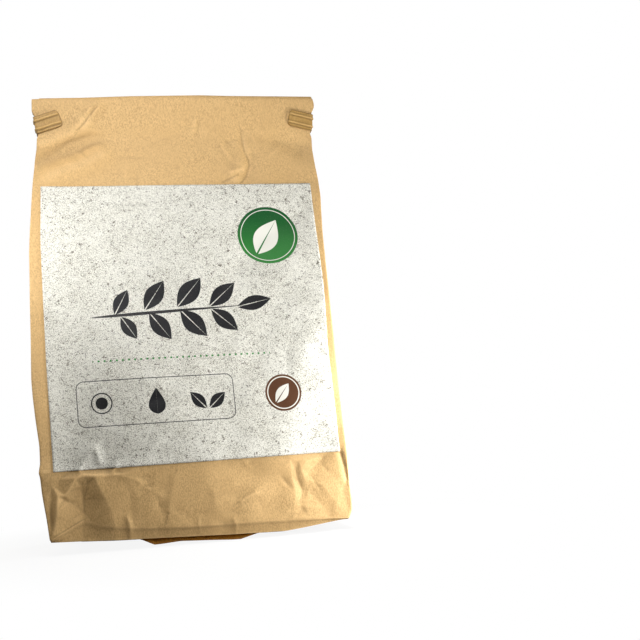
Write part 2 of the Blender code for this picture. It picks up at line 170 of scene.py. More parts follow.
# Heights between which a kind of relief fades
SWELL_RISE = (0.012, 0.100)
SWELL_FALL = (0.180, FLAT_HEIGHT - 0.010)
BAND_FADE = (0.048, 0.056)
WAVES_FADE = (0.230, 0.285)
CREASES_FADE = (0.3085, 0.3115)
HOLLOWS_FADE = (0.280, 0.292)
BACK_FADE = (0.215, 0.250)
GUSSET_FADE = (0.200, 0.262)
LAYERS_MEET = (0.268, 0.286)
TOP_RISE = (0.300, 0.312)

# Rounding of creases, crumples and facets, and fall-off of a crease over its width
CREASE_ROUNDING = 0.0004
CREASE_FALL = 1.5
CRUMPLE_ROUNDING = 0.0003
FACET_SHIFTS = ((0.0004, 0.0002), (-0.0002, 0.0004), (-0.0004, -0.0002), (0.0002, -0.0004))

# Soft waves of the paper: height, length of a wave, seed
FRONT_WAVES = (0.0009, 0.070, 3)
FRONT_RIPPLES = (0.0003, 0.026, 5)
BACK_WAVES = (0.0010, 0.060, 31)
MOUTH_WAVES = (0.0005, 0.045, 51)
FLAP_WAVES = (0.0003, 0.020, 61)
SHEET_WAVES = (0.00008, 0.030, 71)
TIE_WAVES = (0.00012, 0.008, 81)

# Crumples: seed, count, box (x from and to, height from and to), reach, height
BAND_CRUMPLE = (21, 30, (-0.10, 0.10, 0.010, 0.052), 0.009, 0.0007)
LABEL_CRUMPLE = (22, 34, (-0.10, 0.10, 0.06, 0.24), 0.014, 0.0009)
TOP_CRUMPLE = (23, 30, (-0.10, 0.10, 0.250, 0.300), 0.012, 0.0008)
BACK_CRUMPLE = (33, 40, (-0.10, 0.10, 0.012, 0.24), 0.016, 0.0009)
GUSSET_CRUMPLE = (26, (-0.05, 0.05, 0.012, 0.26), 0.013, 0.0010)

# Masks of painted highlight and shade on the front's creases: borders, step and curvature at which
# they are full
MASK_MARGIN = 0.002
MASK_LOW = 0.008
MASK_HIGH = 0.309
MASK_STEP = 0.0009
FULL_CURVATURE = 260.0

# Camera, fitted to the label's corners, the creases and the outline
CAMERA_PLACE = Vector((-0.057, -0.699, 0.073))
CAMERA_AZIMUTH = math.radians(-12.45)
CAMERA_ELEVATION = math.radians(-5.96)
CAMERA_ROLL = math.radians(-3.85)
FOCAL_PIXELS = 979.0
IMAGE_PIXELS = 640.0
SENSOR_WIDTH = 36.0

# Light
AMBIENT = 0.046
LOW_RIGHT_POWER = 1.55
HIGH_FRONT_POWER = 1.05
LEFT_EDGE_POWER = 0.076
BACK_POWER = 5.5
SIDE_POWER = 2.2
# Shade card beside the right gusset: its x, and the y and height of its corners
CARD_PLACE = 0.1078
CARD_OUTLINE = (
    (-0.0465, 0.002), (-0.0460, 0.053), (0.0025, 0.288), (0.0600, 0.288), (0.0600, 0.002),
)


def metres(table):
    """A table of whole tenths of a millimetre, however nested, in metres."""
    return tuple(map(metres, table)) if isinstance(table, tuple) else table / 10000


def ease(start, end, x):
    """0 before start, 1 past end, a cubic S between."""
    t = np.clip((np.asarray(x, float) - start) / (end - start), 0.0, 1.0)
    return t * t * (3 - 2 * t)


def along(table, place, reach=0.0):
    """Value read from a short table of stations, its kinks rounded by a mean over the reach."""
    keys, values = (np.array(column) for column in zip(*table))
    places = [np.asarray(place) + shift for shift in np.linspace(-reach, reach, 5 if reach else 1)]
    return np.mean([np.interp(at, keys, values) for at in places], axis=0)


def side_folds(heights, reach=EDGE_REACH):
    """Distances of the left and of the right side fold from the middle."""
    return along(LEFT_EDGE, heights, reach), along(RIGHT_EDGE, heights, reach)


def half_width(x, z, reach=EDGE_REACH):
    """Distance of the side fold from the middle, on the side where x is."""
    return np.where(x < 0, *side_folds(z, reach))


def waves(x, z, height, length, seed, count=12):
    """Soft unevenness, up to about the height either way: sines in seeded directions."""
    draw = np.random.default_rng(seed)
    total = 0.0
    for _ in range(count):
        angle = draw.uniform(0, 2 * math.pi)
        pace = 2 * math.pi / (length * draw.uniform(0.7, 1.5))
        lag = draw.uniform(0, 2 * math.pi)
        total = total + np.sin(pace * (x * math.cos(angle) + z * math.sin(angle)) + lag)
    return height * (total * math.sqrt(0.5 / count))


def side_distance(x, z, line):
    """Distance to a chain of straight pieces, positive on the chain's left side."""
    best = np.full(np.shape(x), 1.0)
    side = np.ones(np.shape(x))
    for (x0, z0), (x1, z1) in zip(line, line[1:]):
        dx, dz = x1 - x0, z1 - z0
        t = np.clip(((x - x0) * dx + (z - z0) * dz) / (dx * dx + dz * dz), 0.0, 1.0)
        away = np.hypot(x - x0 - t * dx, z - z0 - t * dz)
        nearer = away < best
        best = np.where(nearer, away, best)
        side = np.where(nearer, np.where(dx * (z - z0) - dz * (x - x0) >= 0, 1.0, -1.0), side)
    return best * side


def crease(x, z, line, height, left, right):
    """A crease: full height on its line, falling off exponentially over a width on each side."""
    away = side_distance(x, z, line)
    rounded = np.sqrt(away**2 + CREASE_ROUNDING**2) - CREASE_ROUNDING
    return height * np.exp(-CREASE_FALL * rounded / np.where(away > 0, left, right))


def trough(x, z, line, height, width):
    """A soft trough or swelling along a line: a bell across it."""
    return height * np.exp(-((side_distance(x, z, line) / width) ** 2))


def crumple(x, z, seed, count, box, reach, height):
    """Seeded straight creases: each is a bend across the sheet that fades past its reach."""
    draw = np.random.default_rng(seed)
    total = np.zeros(np.shape(x))
    for _ in range(count):
        cx, cz = draw.uniform(box[0], box[1]), draw.uniform(box[2], box[3])
        angle = draw.uniform(0, math.pi)
        size = reach * draw.uniform(0.5, 1.4)
        sign = draw.choice((-1.0, 1.0)) * draw.uniform(0.4, 1.0)
        across = (x - cx) * math.sin(angle) - (z - cz) * math.cos(angle)
        down = (x - cx) * math.cos(angle) + (z - cz) * math.sin(angle)
        window = np.exp(-((across / (0.55 * size)) ** 2) - (down / size) ** 2)
        bend = np.sqrt(across**2 + CRUMPLE_ROUNDING**2) / size
        total += sign * height * (0.5 - bend) * window
    return total


def facets(x, z, corners, edges):
    """Crumpled paper as flat facets: heights at named corners, straight across each triangle.

    The triangles come from a net over the corners that keeps the stated crease edges; outside it
    the height is 0. A mean over four near places rounds each edge by about half a millimetre.
    """
    net = delaunay_2d_cdt([Vector(c[:2]) for c in corners], edges, [], 0, 1e-6)
    places = np.array([tuple(p) for p in net[0]])
    heights = np.array([corners[origin[0]][2] for origin in net[3]])
    total = np.zeros(np.shape(x))
    for shift_x, shift_z in FACET_SHIFTS:
        px, pz = x + shift_x, z + shift_z
        for a, b, c in net[2]:
            (ax, az), (bx, bz), (cx, cz) = places[a], places[b], places[c]
            area = (bx - ax) * (cz - az) - (cx - ax) * (bz - az)
            u = ((px - ax) * (cz - az) - (cx - ax) * (pz - az)) / area
            v = ((bx - ax) * (pz - az) - (px - ax) * (bz - az)) / area
            inside = (u >= 0) & (v >= 0) & (u + v < 1)
            value = heights[a] + u * (heights[b] - heights[a]) + v * (heights[c] - heights[a])
            total += np.where(inside, value, 0.0)
    return total / len(FACET_SHIFTS)


# Crumpled lower left corner, in tenths of a millimetre: x, height and distance out of the panel.
# The edges are the pairs of its points that a crease joins.
LEFT_NET = metres((
    (-1007, 499, 0), (-989, 329, 0), (-970, 98, 0), (-942, 450, 8), (-908, 382, 18),
    (-918, 279, 15), (-933, 181, 8), (-954, 208, -2), (-953, 307, -1), (-872, 354, 4),
    (-836, 335, 2), (-774, 336, -3), (-862, 378, 15), (-793, 483, 27), (-891, 484, 9),
    (-900, 416, 8), (-758, 436, 9), (-749, 341, -7), (-752, 266, -16), (-754, 212, -13),
    (-705, 205, -8), (-650, 182, 1), (-675, 486, 37), (-647, 408, 31), (-612, 336, 23),
    (-578, 257, 17), (-563, 187, 14), (-486, 485, 13), (-456, 317, 0), (-450, 177, 1),
    (-377, 521, 0), (-387, 311, 0), (-399, 52, 0), (-889, 553, 0), (-790, 546, 0),
    (-672, 543, 0), (-484, 535, 0), (-775, 466, 20), (-720, 442, 14), (-743, 498, 29),
    (-907, 86, -7), (-760, 72, -22), (-587, 69, 10), (-840, 223, -3), (-1011, 575, 0),
))
LEFT_NET_EDGES = (
    (3, 4), (4, 5), (5, 6), (4, 9), (9, 10), (10, 11), (11, 17), (4, 12), (12, 13), (13, 37),
    (37, 38), (37, 16), (16, 17), (17, 18), (18, 19), (19, 20), (20, 21), (21, 26), (22, 23),
    (23, 24), (24, 25), (25, 26), (38, 22), (39, 38), (7, 6), (8, 7), (15, 12), (26, 42),
    (19, 41), (3, 8),
)

# Crumpled lower right corner, likewise
RIGHT_NET = metres((
    (529, 533, 0), (515, 303, 0), (502, 95, 0), (602, 501, -2), (659, 490, 1), (638, 425, -8),
    (653, 345, -9), (673, 290, -7), (663, 238, -4), (650, 193, 0), (602, 395, 0), (622, 294, 2),
    (616, 196, 3), (672, 429, 2), (695, 361, 1), (717, 287, -3), (699, 222, -1), (736, 415, -2),
    (769, 439, -3), (798, 460, -3), (827, 488, -3), (856, 509, -1), (709, 473, 4), (772, 488, 3),
    (837, 437, 1), (775, 335, 3), (821, 298, 3), (852, 250, 3), (890, 200, 2), (901, 365, -3),
    (958, 281, -3), (755, 238, -4), (812, 167, -1), (681, 145, -3), (705, 110, -2),
    (689, 177, 1), (662, 166, -3), (975, 527, 0), (1003, 331, 0), (985, 86, 0), (658, 523, 0),
    (802, 526, 0), (595, 87, 0), (717, 76, 0), (854, 78, 0),
))
RIGHT_NET_EDGES = (
    (3, 4), (4, 5), (5, 6), (6, 7), (7, 8), (8, 9), (10, 11), (11, 12), (13, 14), (14, 15),
    (15, 16), (17, 18), (18, 19), (19, 20), (20, 21), (14, 25), (25, 26), (26, 27), (27, 28),
    (36, 33), (33, 34), (22, 23), (13, 22), (22, 17),
)

# How far the filling pushes the front out, in tenths of a millimetre: a row for each height and a
# column for each x, which are in metres
PUSH_PLACES = (
    -0.104, -0.090, -0.075, -0.060, -0.045, -0.030, -0.015, 0.0, 0.020, 0.040, 0.060, 0.080, 0.104,
)
PUSH_HEIGHTS = (
    0.006, 0.030, 0.055, 0.080, 0.105, 0.130, 0.160, 0.190, 0.220, 0.250, 0.280, 0.318,
)
PUSH_TABLE = (
    (0, 0, -1, -5, -4, -3, 1, 4, 6, 3, -1, 0, -1),
    (9, -12, -22, -14, 6, 12, 9, 9, -1, -19, -22, -36, -24),
    (0, -34, -46, -42, -6, -10, -8, -8, -19, -17, -19, -37, -8),
    (-8, -45, -55, -26, -6, -7, -6, -12, -17, -5, 2, -7, -2),
    (-8, -37, -45, -22, -4, 8, 2, -7, -11, -4, 5, 8, 1),
    (-5, -25, -40, -29, -12, 0, -5, -14, -19, -18, -3, 13, 4),
    (0, -13, -35, -35, -23, -23, -22, -24, -30, -33, -15, 10, 7),
    (4, -11, -27, -29, -31, -36, -31, -29, -34, -41, -27, -1, 7),
    (2, -10, -16, -19, -31, -34, -26, -23, -28, -35, -30, -14, 2),
    (1, -3, -7, -13, -20, -20, -13, -11, -13, -20, -21, -14, -1),
    (-1, -1, -2, -2, -5, -4, -2, -1, -1, -2, -3, -3, 0),
    (0, 0, 1, 3, 2, 2, 1, 1, 2, 2, 2, 2, 0),
)
PUSH_SOFTNESS = 0.0055
PUSH_STEP = 0.001
PUSH_REACH = 20

# Bounds of a panel's distance from the middle plane, and how softly they hold it
DEEPEST_PANEL = 0.0507
SHALLOWEST_PANEL = 0.0004
PANEL_SOFTNESS = 0.0005

# Named creases of the front, in tenths of a millimetre: the line's x and heights, the distance
# out, and the width on the line's left and on its right side
FRONT_CREASES = metres((
    # Pinch beside the left tab
    (((-558, 3112), (-588, 3060), (-608, 3025)), -12, 22, 34),
    (((-634, 2990), (-655, 2957), (-690, 2920)), -9, 30, 40),
    (((-543, 3119), (-559, 3082), (-589, 3038)), 8, 16, 16),
    (((-607, 3097), (-630, 3045)), 7, 18, 24),
    (((-655, 2957), (-728, 2861), (-827, 2769)), -6, 60, 60),
    # Thin creases at the right of the top
    (((471, 2904), (473, 2810), (483, 2750), (507, 2685), (515, 2645), (481, 2550), (447, 2505)),
     -8, 18, 38),
    (((383, 2584), (456, 2607)), 10, 28, 28),
    (((315, 2510), (420, 2560)), -8, 40, 40),
    (((740, 2830), (960, 2770)), -5, 100, 100),
    # Line left by the flat bag's folded bottom
    (((-1024, 532), (976, 541)), 9, 40, 60),
    # Tuck in the right side fold just under the label
    (((951, 522), (972, 427), (986, 332)), -11, 12, 26),
    # Short creases of the lower band
    (((-165, 440), (-202, 290), (-215, 240)), 13, 70, 28),
    (((-333, 377), (-268, 327)), 9, 40, 40),
    (((-478, 187), (-473, 158)), 6, 16, 16),
    (((-30, 150), (-29, 110)), 4, 14, 14),
    (((202, 140), (215, 100)), 5, 14, 14),
    (((-493, 472), (-450, 456), (-413, 441), (-388, 420)), 7, 22, 30),
    (((-480, 211), (-469, 178), (-470, 147)), 6, 20, 20),
    (((258, 252), (313, 280), (354, 296)), 8, 30, 40),
    (((-332, 396), (-285, 322), (-275, 264)), -8, 60, 40),
    (((23, 407), (78, 325), (86, 240)), 8, 60, 60),
    # Creases of the label's lower left
    (((-693, 652), (-772, 532)), 13, 35, 35),
    (((-662, 650), (-640, 572)), 13, 30, 30),
    (((-534, 552), (-561, 509)), 13, 30, 30),
    # Long soft fold under the label
    (((900, 2300), (450, 1980), (250, 1750)), -12, 200, 140),
))

# Soft hollows and swellings of the front, likewise: the line, the distance out, the half width
FRONT_HOLLOWS = metres((
    # Broad valley that runs down from the left tab, and the swelling under it
    (((-1040, 2615), (-950, 2665), (-770, 2765), (-600, 2875)), -37, 90),
    (((-900, 2580), (-700, 2640), (-560, 2720)), 26, 80),
    (((-975, 2790), (-850, 2830), (-740, 2885), (-660, 2945)), 21, 62),
    (((-560, 3110), (-610, 3020), (-680, 2940)), 12, 50),
    (((540, 2700), (510, 2560)), -9, 50),
    (((400, 2540), (440, 2640)), 8, 45),
    (((700, 2900), (900, 2760)), -14, 80),
))


def soft_shares(stations, low, high):
    """Each station's share along a fine line: straight between stations, softened by a bell."""
    line = np.arange(low, high, PUSH_STEP)
    bell = np.exp(-0.5 * (np.arange(-PUSH_REACH, PUSH_REACH + 1) * PUSH_STEP / PUSH_SOFTNESS) ** 2)
    hats = [np.interp(line, stations, unit) for unit in np.eye(len(stations))]
    padded = [np.pad(hat, PUSH_REACH, mode="edge") for hat in hats]
    return line, np.array([np.convolve(hat, bell / bell.sum(), "valid") for hat in padded])


def filling_push(x, z):
    """The push table read at any place of the front: its columns by x, each of them by height."""
    across, column_shares = soft_shares(PUSH_PLACES, -0.110, 0.110)
    upward, row_shares = soft_shares(PUSH_HEIGHTS, 0.0, 0.325)
    columns = 0.001 * (np.array(PUSH_TABLE) / 10).T @ row_shares
    return sum(
        np.interp(z, upward, column) * np.interp(x, across, share)
        for column, share in zip(columns, column_shares)
    )


def front_offset(x, z):
    """Distance of the front panel's middle surface from the bag's middle plane."""
    return along(DEPTH_STATIONS, z, DEPTH_REACH) + front_relief(x, z, half_width(x, z, 0.0012))


def held_in(relief, z):
    """Keeps a panel between the paper folded inside it and the depth of the base.

    A smooth minimum with the deepest place, then a smooth maximum with the shallowest one.
    """
    soft, flat = PANEL_SOFTNESS, along(DEPTH_STATIONS, z, DEPTH_REACH)
    place = -soft * np.logaddexp(-(flat + relief) / soft, -DEEPEST_PANEL / soft)
    return soft * np.logaddexp(place / soft, SHALLOWEST_PANEL / soft) - flat


def swelling(x, z, width, height):
    """A full bag's roundness: none at the base, at the flat top and at the side folds."""
    rise = ease(*SWELL_RISE, z) * (1 - ease(*SWELL_FALL, z))
    return height * rise * (1 - np.clip(x / width, -1, 1) ** 2)


def front_relief(x, z, width):
    """How far the filling, the creases and the crumples lift the front off its flat panel."""
    relief = swelling(x, z, width, BULGE_FRONT) + filling_push(x, z)
    room = 1 - ease(*WAVES_FADE, z)
    low = 1 - ease(*BAND_FADE, z)
    relief += waves(x, z, *FRONT_WAVES) * ease(0.030, 0.080, z) * room
    relief += waves(x, z, *FRONT_RIPPLES) * room
    relief += facets(x, z, LEFT_NET, LEFT_NET_EDGES) * low
    relief += facets(x, z, RIGHT_NET, RIGHT_NET_EDGES) * low
    for line, *sizes in FRONT_CREASES:
        relief += crease(x, z, line, *sizes) * (1 - ease(*CREASES_FADE, z))
    for line, height, size in FRONT_HOLLOWS:
        relief += trough(x, z, line, height, size) * (1 - ease(*HOLLOWS_FADE, z) * (height < 0))
    relief += crumple(x, z, *BAND_CRUMPLE) * low
    relief += crumple(x, z, *LABEL_CRUMPLE)
    relief += crumple(x, z, *TOP_CRUMPLE)
    return held_in(relief, z)


def back_relief(x, z, width):
    """The back panel's swelling, its lengthwise seam and its own creases."""
    relief = swelling(x, z, width, BULGE_BACK)
    room = 1 - ease(*BACK_FADE, z)
    relief += waves(x, z, *BACK_WAVES) * ease(0.020, 0.060, z) * room
    relief += crease(x, z, ((-0.10, 0.0532), (0.10, 0.0532)), 0.0008, 0.004, 0.006)
    relief += crumple(x, z, *BACK_CRUMPLE) * room
    relief += 0.0003 * ease(0.0125, 0.0135, x) * room
    return held_in(relief, z)


def gusset_relief(v, z, side):
    """Waves and the slanting folds of a block bottom, which meet at the gusset's middle."""
    relief = waves(v, z, 0.0010, 0.050, 41 + side)
    relief += crumple(v, z, 43 + side, *GUSSET_CRUMPLE)
    for corner in (-GUSSET_EDGE, GUSSET_EDGE):
        relief += crease(v, z, ((corner, 0.012), (0.0, 0.0545)), 0.0016, 0.006, 0.006)
    level = ((-GUSSET_EDGE, 0.0532), (GUSSET_EDGE, 0.0532))
    relief += crease(v, z, level, 0.0008, 0.004, 0.004)
    return relief


def ring_part(width, depth, inset, radius, steps):
    """From a panel's middle out along it, round the side fold and in along half the gusset.

    Arrays hold one row per height. The panel is straight, the side fold is an arc, the half gusset
    is the line that touches both that arc and the arc of the gusset's own fold, where the part
    ends. Returns x and the distance v from the middle plane, which is negative here.
    """

    def shares(count):
        return np.linspace(0, 1, count, endpoint=False)[None, :]

    w, d, g, r = (np.asarray(a)[:, None] for a in (width, depth, inset, radius))
    across, back = 2 * r - g, d - r
    tilt = np.arcsin(np.clip(2 * r / np.hypot(across, back), -1, 1))
    heading = np.arctan2(back, across) + tilt
    turn = heading * shares(CORNER_STEPS)
    curl = heading + (math.pi / 2 - heading) * shares(CURL_STEPS)
    share, step = shares(steps), shares(GUSSET_STEPS)
    fold = w - g + r
    start_x, start_v = w - r + r * np.sin(heading), r - d - r * np.cos(heading)
    end_x, end_v = fold - r * np.sin(heading), r * np.cos(heading)
    x = (share * (w - r), w - r + r * np.sin(turn), start_x + step * (end_x - start_x),
         fold - r * np.sin(curl), fold - r)
    v = (-d + 0 * share, r - d - r * np.cos(turn), start_v + step * (end_v - start_v),
         r * np.cos(curl), 0 * fold)
    return np.concatenate(x, axis=1), np.concatenate(v, axis=1)


def gusset_mask():
    """Which points of a ring lie on the gussets: one truth value for each."""
    front = FRONT_STEPS + CORNER_STEPS + GUSSET_STEPS + CURL_STEPS
    back = BACK_STEPS + CORNER_STEPS + GUSSET_STEPS + CURL_STEPS
    order = np.arange(2 * (front + back))
    right = (order >= FRONT_STEPS) & (order <= front + back - BACK_STEPS)
    left = (order >= front + back + BACK_STEPS) & (order <= 2 * (front + back) - FRONT_STEPS)
    return right | left


def tube_rings(left, right, depth, inset, radius):
    """Closed rings of the tube, one row per height: middle of the front, right, back, left.

    Returns x and v, and the x by which a point takes its height: past a side fold, the fold's.
    """
    (rfx, rfv), (rbx, rbv), (lbx, lbv), (lfx, lfv) = (
        ring_part(width, depth, inset, radius, steps)
        for width, steps in (
            (right, FRONT_STEPS), (right, BACK_STEPS), (left, BACK_STEPS), (left, FRONT_STEPS),
        )
    )
    x = np.concatenate((rfx, rbx[:, -2::-1], -lbx[:, 1:], -lfx[:, -2:0:-1]), axis=1)
    v = np.concatenate((rfv, -rbv[:, -2::-1], -lbv[:, 1:], lfv[:, -2:0:-1]), axis=1)
    fold = np.where(x > 0, (right - radius)[:, None], (radius - left)[:, None])
    return x, v, np.where(gusset_mask()[None, :], fold, x)


def gusset_inset(depth):
    """How far the gusset's fold is drawn in: its half panels keep their length."""
    slack = 0.0020 * np.minimum(1.0, depth / 0.030)
    return np.sqrt(np.maximum(HALF_GUSSET**2 - depth**2, 0)) + slack


def base_line(table, plain, hang, v, depth):
    """Height of a base edge: the table's at the front, a plain one at the back, even between."""
    share = np.clip((depth - v) / (2 * depth), 0, 1)
    return plain + share * (along(table, hang, EDGE_REACH) - plain)


def level_rings(heights):
    """Rings of the standing tube at these nominal heights."""
    left, right = side_folds(heights)
    depth = along(DEPTH_STATIONS, heights, DEPTH_REACH)
    radius = along(RADIUS_STATIONS, heights)
    x, v, hang = tube_rings(left, right, depth, gusset_inset(depth), radius)
    return x, v, hang, depth[:, None], left, right


def lifted(x, v, z, depth, left, right):
    """Distance y of tube points: each panel is lifted whole, its gusset halves in proportion.

    Where the four layers lie flat they all follow the front, so none crosses another.
    """
    share = np.clip(np.abs(v) / depth, 0, 1)
    flat = ease(*LAYERS_MEET, z)
    width = np.where(x < 0, left[:, None], right[:, None])
    front, back = front_relief(x, z, width), back_relief(x, z, width)
    y = np.where(v <= 0, v - front * share, v + back * share)
    return y - flat * front * np.where(v <= 0, 1 - share, 1.0)


def gusset_push(x, v, z, depth):
    """Sideways relief of the gussets, none at their folds."""
    half = np.sin(np.clip(np.abs(v) / np.maximum(depth, 1e-6), 0, 1) * math.pi)
    push = np.where(x > 0, gusset_relief(v, z, 1), -gusset_relief(v, z, 0))
    return np.where(gusset_mask()[None, :], push * half * (1 - ease(*GUSSET_FADE, z)), 0.0)


def standing_rows():
    """The tube from its base crease up to where the top fold starts."""
    share = np.linspace(0, 1, LOW_ROWS, endpoint=False)
    low = PLAIN_CREASE + share * (CROSS_CREASE - PLAIN_CREASE)
    body = np.linspace(CROSS_CREASE, LABEL_ZONE_TOP, BODY_ROWS, endpoint=False)
    top = np.linspace(LABEL_ZONE_TOP, BEND_HEIGHT, TOP_ROWS)
    heights = np.concatenate((low, body, top))
    x, v, hang, depth, left, right = level_rings(heights)
    z = np.repeat(heights[:, None], x.shape[1], axis=1)
    band = slice(LOW_ROWS)
    start = base_line(BASE_CREASE, PLAIN_CREASE, hang[band], v[band], depth[band])
    z[band] = start + share[:, None] * (CROSS_CREASE - start)
    y = lifted(x, v, z, depth, left, right)
    return x + gusset_push(x, v, z, depth), y, z


def under_height(x, y, lift):
    """Height of the underside: the given lift, or the slope from the front edge if higher."""
    ramp = along(STRIP_END, x, EDGE_REACH) - UNDER_SLOPE * (y + HALF_GUSSET - STRIP_INSET)
    return np.maximum(np.maximum(ramp, lift), UNDER_LEVEL)


def base_rows():
    """Rings from the middle of the base out, up the turned-under strip, to the base crease."""
    low = np.array([PLAIN_CREASE])
    left, right = side_folds(low)
    depth = along(DEPTH_STATIONS, low, DEPTH_REACH)
    inset, radius = gusset_inset(depth), along(RADIUS_STATIONS, low)
    rest_x, rest_v, _ = tube_rings(
        left - REST_INSET, right - REST_INSET, depth - REST_INSET, inset, radius
    )
    full_x, full_v, hang = tube_rings(left, right, depth, inset, radius)
    tuck_x, tuck_v, _ = tube_rings(
        left - STRIP_NARROWING, right - STRIP_NARROWING, depth - STRIP_INSET, inset, radius
    )
    edge = base_line(BASE_CREASE, PLAIN_CREASE, hang, full_v, depth[:, None])
    end = base_line(STRIP_END, PLAIN_STRIP, hang, full_v, depth[:, None])
    relief = full_v - lifted(full_x, full_v, edge, depth[:, None], left, right)
    tuck_y = tuck_v - 0.4 * relief
    rows = []
    for scale in np.linspace(0.04, 1, UNDER_ROWS):
        x, y = rest_x * scale, rest_v * scale
        rows.append((x, y, under_height(x, y, UNDER_LEVEL)))
    for share in (0.30, 0.60, 0.85):
        x, y = rest_x + (tuck_x - rest_x) * share, rest_v + (tuck_y - rest_v) * share
        lift = UNDER_LEVEL + (end - UNDER_LEVEL) * share**1.6
        rows.append((x, y, under_height(x, y, lift)))
    for share in np.linspace(1, 0, STRIP_ROWS, endpoint=False):
        x = full_x + (tuck_x - full_x) * share
        y = full_v + (tuck_v - full_v) * share**0.8 - relief * (1 - 0.6 * share)
        rows.append((x, y, edge + (end - edge) * share))
    return [np.concatenate(part, axis=0) for part in zip(*rows)]


def folded_rows():
    """Rings over the top fold, down the flap behind to the mouth, and up again inside it."""

    def flat_rings(heights):
        depth = np.full(len(heights), FLAT_DEPTH)
        radius = np.full(len(heights), LAYER_PITCH / 2)
        return tube_rings(*side_folds(heights, 0.0), depth, gusset_inset(depth), radius)[:2]

    ring_x, ring_v = flat_rings(np.array([TOP_HEIGHT]))
    turn = np.linspace(0, math.pi, BEND_ROWS + 1)[1:, None]
    heights = np.linspace(BEND_HEIGHT, MOUTH_HEIGHT, FLAP_ROWS)[1:, None]
    flap_x, flap_v = flat_rings(heights[:, 0])
    away = 2 * BEND_OFFSET + FLAP_SLOPE * np.maximum(0.0, FLAP_FREE - heights)
    uneven = MOUTH_WAVES[0] + waves(flap_x, heights, *MOUTH_WAVES)
    away = away + uneven * ease(0.288, 0.282, heights)
    level = np.repeat(heights, flap_x.shape[1], axis=1)
    level[-1] -= np.abs((flap_x[-1] / TOOTH_PITCH) % 1.0 - 0.5) * TOOTH_HEIGHT
    rows = [
        (
            np.repeat(ring_x, BEND_ROWS, axis=0),
            BEND_OFFSET * (1 - np.cos(turn)) + ring_v * np.cos(turn),
            BEND_HEIGHT + BEND_OFFSET * np.sin(turn) - ring_v * np.sin(turn),
        ),
        (flap_x, away - flap_v, level),
    ]
    # Inside the mouth: inwards from its edge, then up
    mouth_x, mouth_y = flap_x[-1:], (away - flap_v)[-1:]
    ahead_x, ahead_y = (
        np.roll(line, -1, axis=1) - np.roll(line, 1, axis=1) for line in (mouth_x, mouth_y)
    )
    length = np.hypot(ahead_x, ahead_y) + 1e-9
    for inwards, up in MOUTH_LINING:
        rows.append((
            mouth_x + ahead_y / length * inwards, mouth_y - ahead_x / length * inwards,
            level[-1:] + up,
        ))
    return [np.concatenate(part, axis=0) for part in zip(*rows)]


def relief_masks(x, z, width):
    """Where the front bends out and where in, for painted highlight and shade: minus and plus its
    height's curvature.
    """
    steps = ((MASK_STEP, 0), (-MASK_STEP, 0), (0, MASK_STEP), (0, -MASK_STEP))
    around = sum(front_relief(x + dx, z + dz, width) for dx, dz in steps)
    bend = (around - 4 * front_relief(x, z, width)) / MASK_STEP**2
    return np.clip(-bend / FULL_CURVATURE, 0, 1), np.clip(bend / FULL_CURVATURE, 0, 1)


def grid_faces(rows, columns, closed):
    """Quads of a grid of points, the last column joined to the first where it is closed."""
    across = np.arange(columns if closed else columns - 1)
    first = np.arange(rows - 1)[:, None] * columns + across[None, :]
    second = np.arange(rows - 1)[:, None] * columns + ((across + 1) % columns)[None, :]
    return np.stack((first, second, second + columns, first + columns), axis=-1).reshape(-1, 4)


def add_object(name, data):
    """Puts a mesh, a light or a camera into the scene."""
    thing = bpy.data.objects.new(name, data)
    bpy.context.scene.collection.objects.link(thing)
    return thing


def new_piece(name, points, faces, material, smooth_angle=50.0):
    """A mesh object from an array of points and faces, smooth but for its sharp folds."""
    mesh = bpy.data.meshes.new(name)
    mesh.from_pydata(points.reshape(-1, 3), [], faces)
    mesh.materials.append(material)
    mesh.validate()
    mesh.shade_smooth()
    mesh.set_sharp_from_angle(angle=math.radians(smooth_angle))
    return add_object(name, mesh)


def new_sheet(name, points, material, thickness, facing=1):
    """A sheet from a grid of points, thickened; facing -1 turns its faces over."""
    faces = grid_faces(*points.shape[:2], False)[:, ::facing]
    sheet = new_piece(name, points, faces.tolist(), material)
    thick = sheet.modifiers.new("Thickness", "SOLIDIFY")
    thick.thickness = thickness
    thick.offset = facing
    return sheet


def set_mask(piece, name, values):
    """Keeps one number per point with the mesh, for its material to read."""
    attribute = piece.data.attributes.new(name, "FLOAT", "POINT")
    attribute.data.foreach_set("value", np.asarray(values, np.float32).ravel())


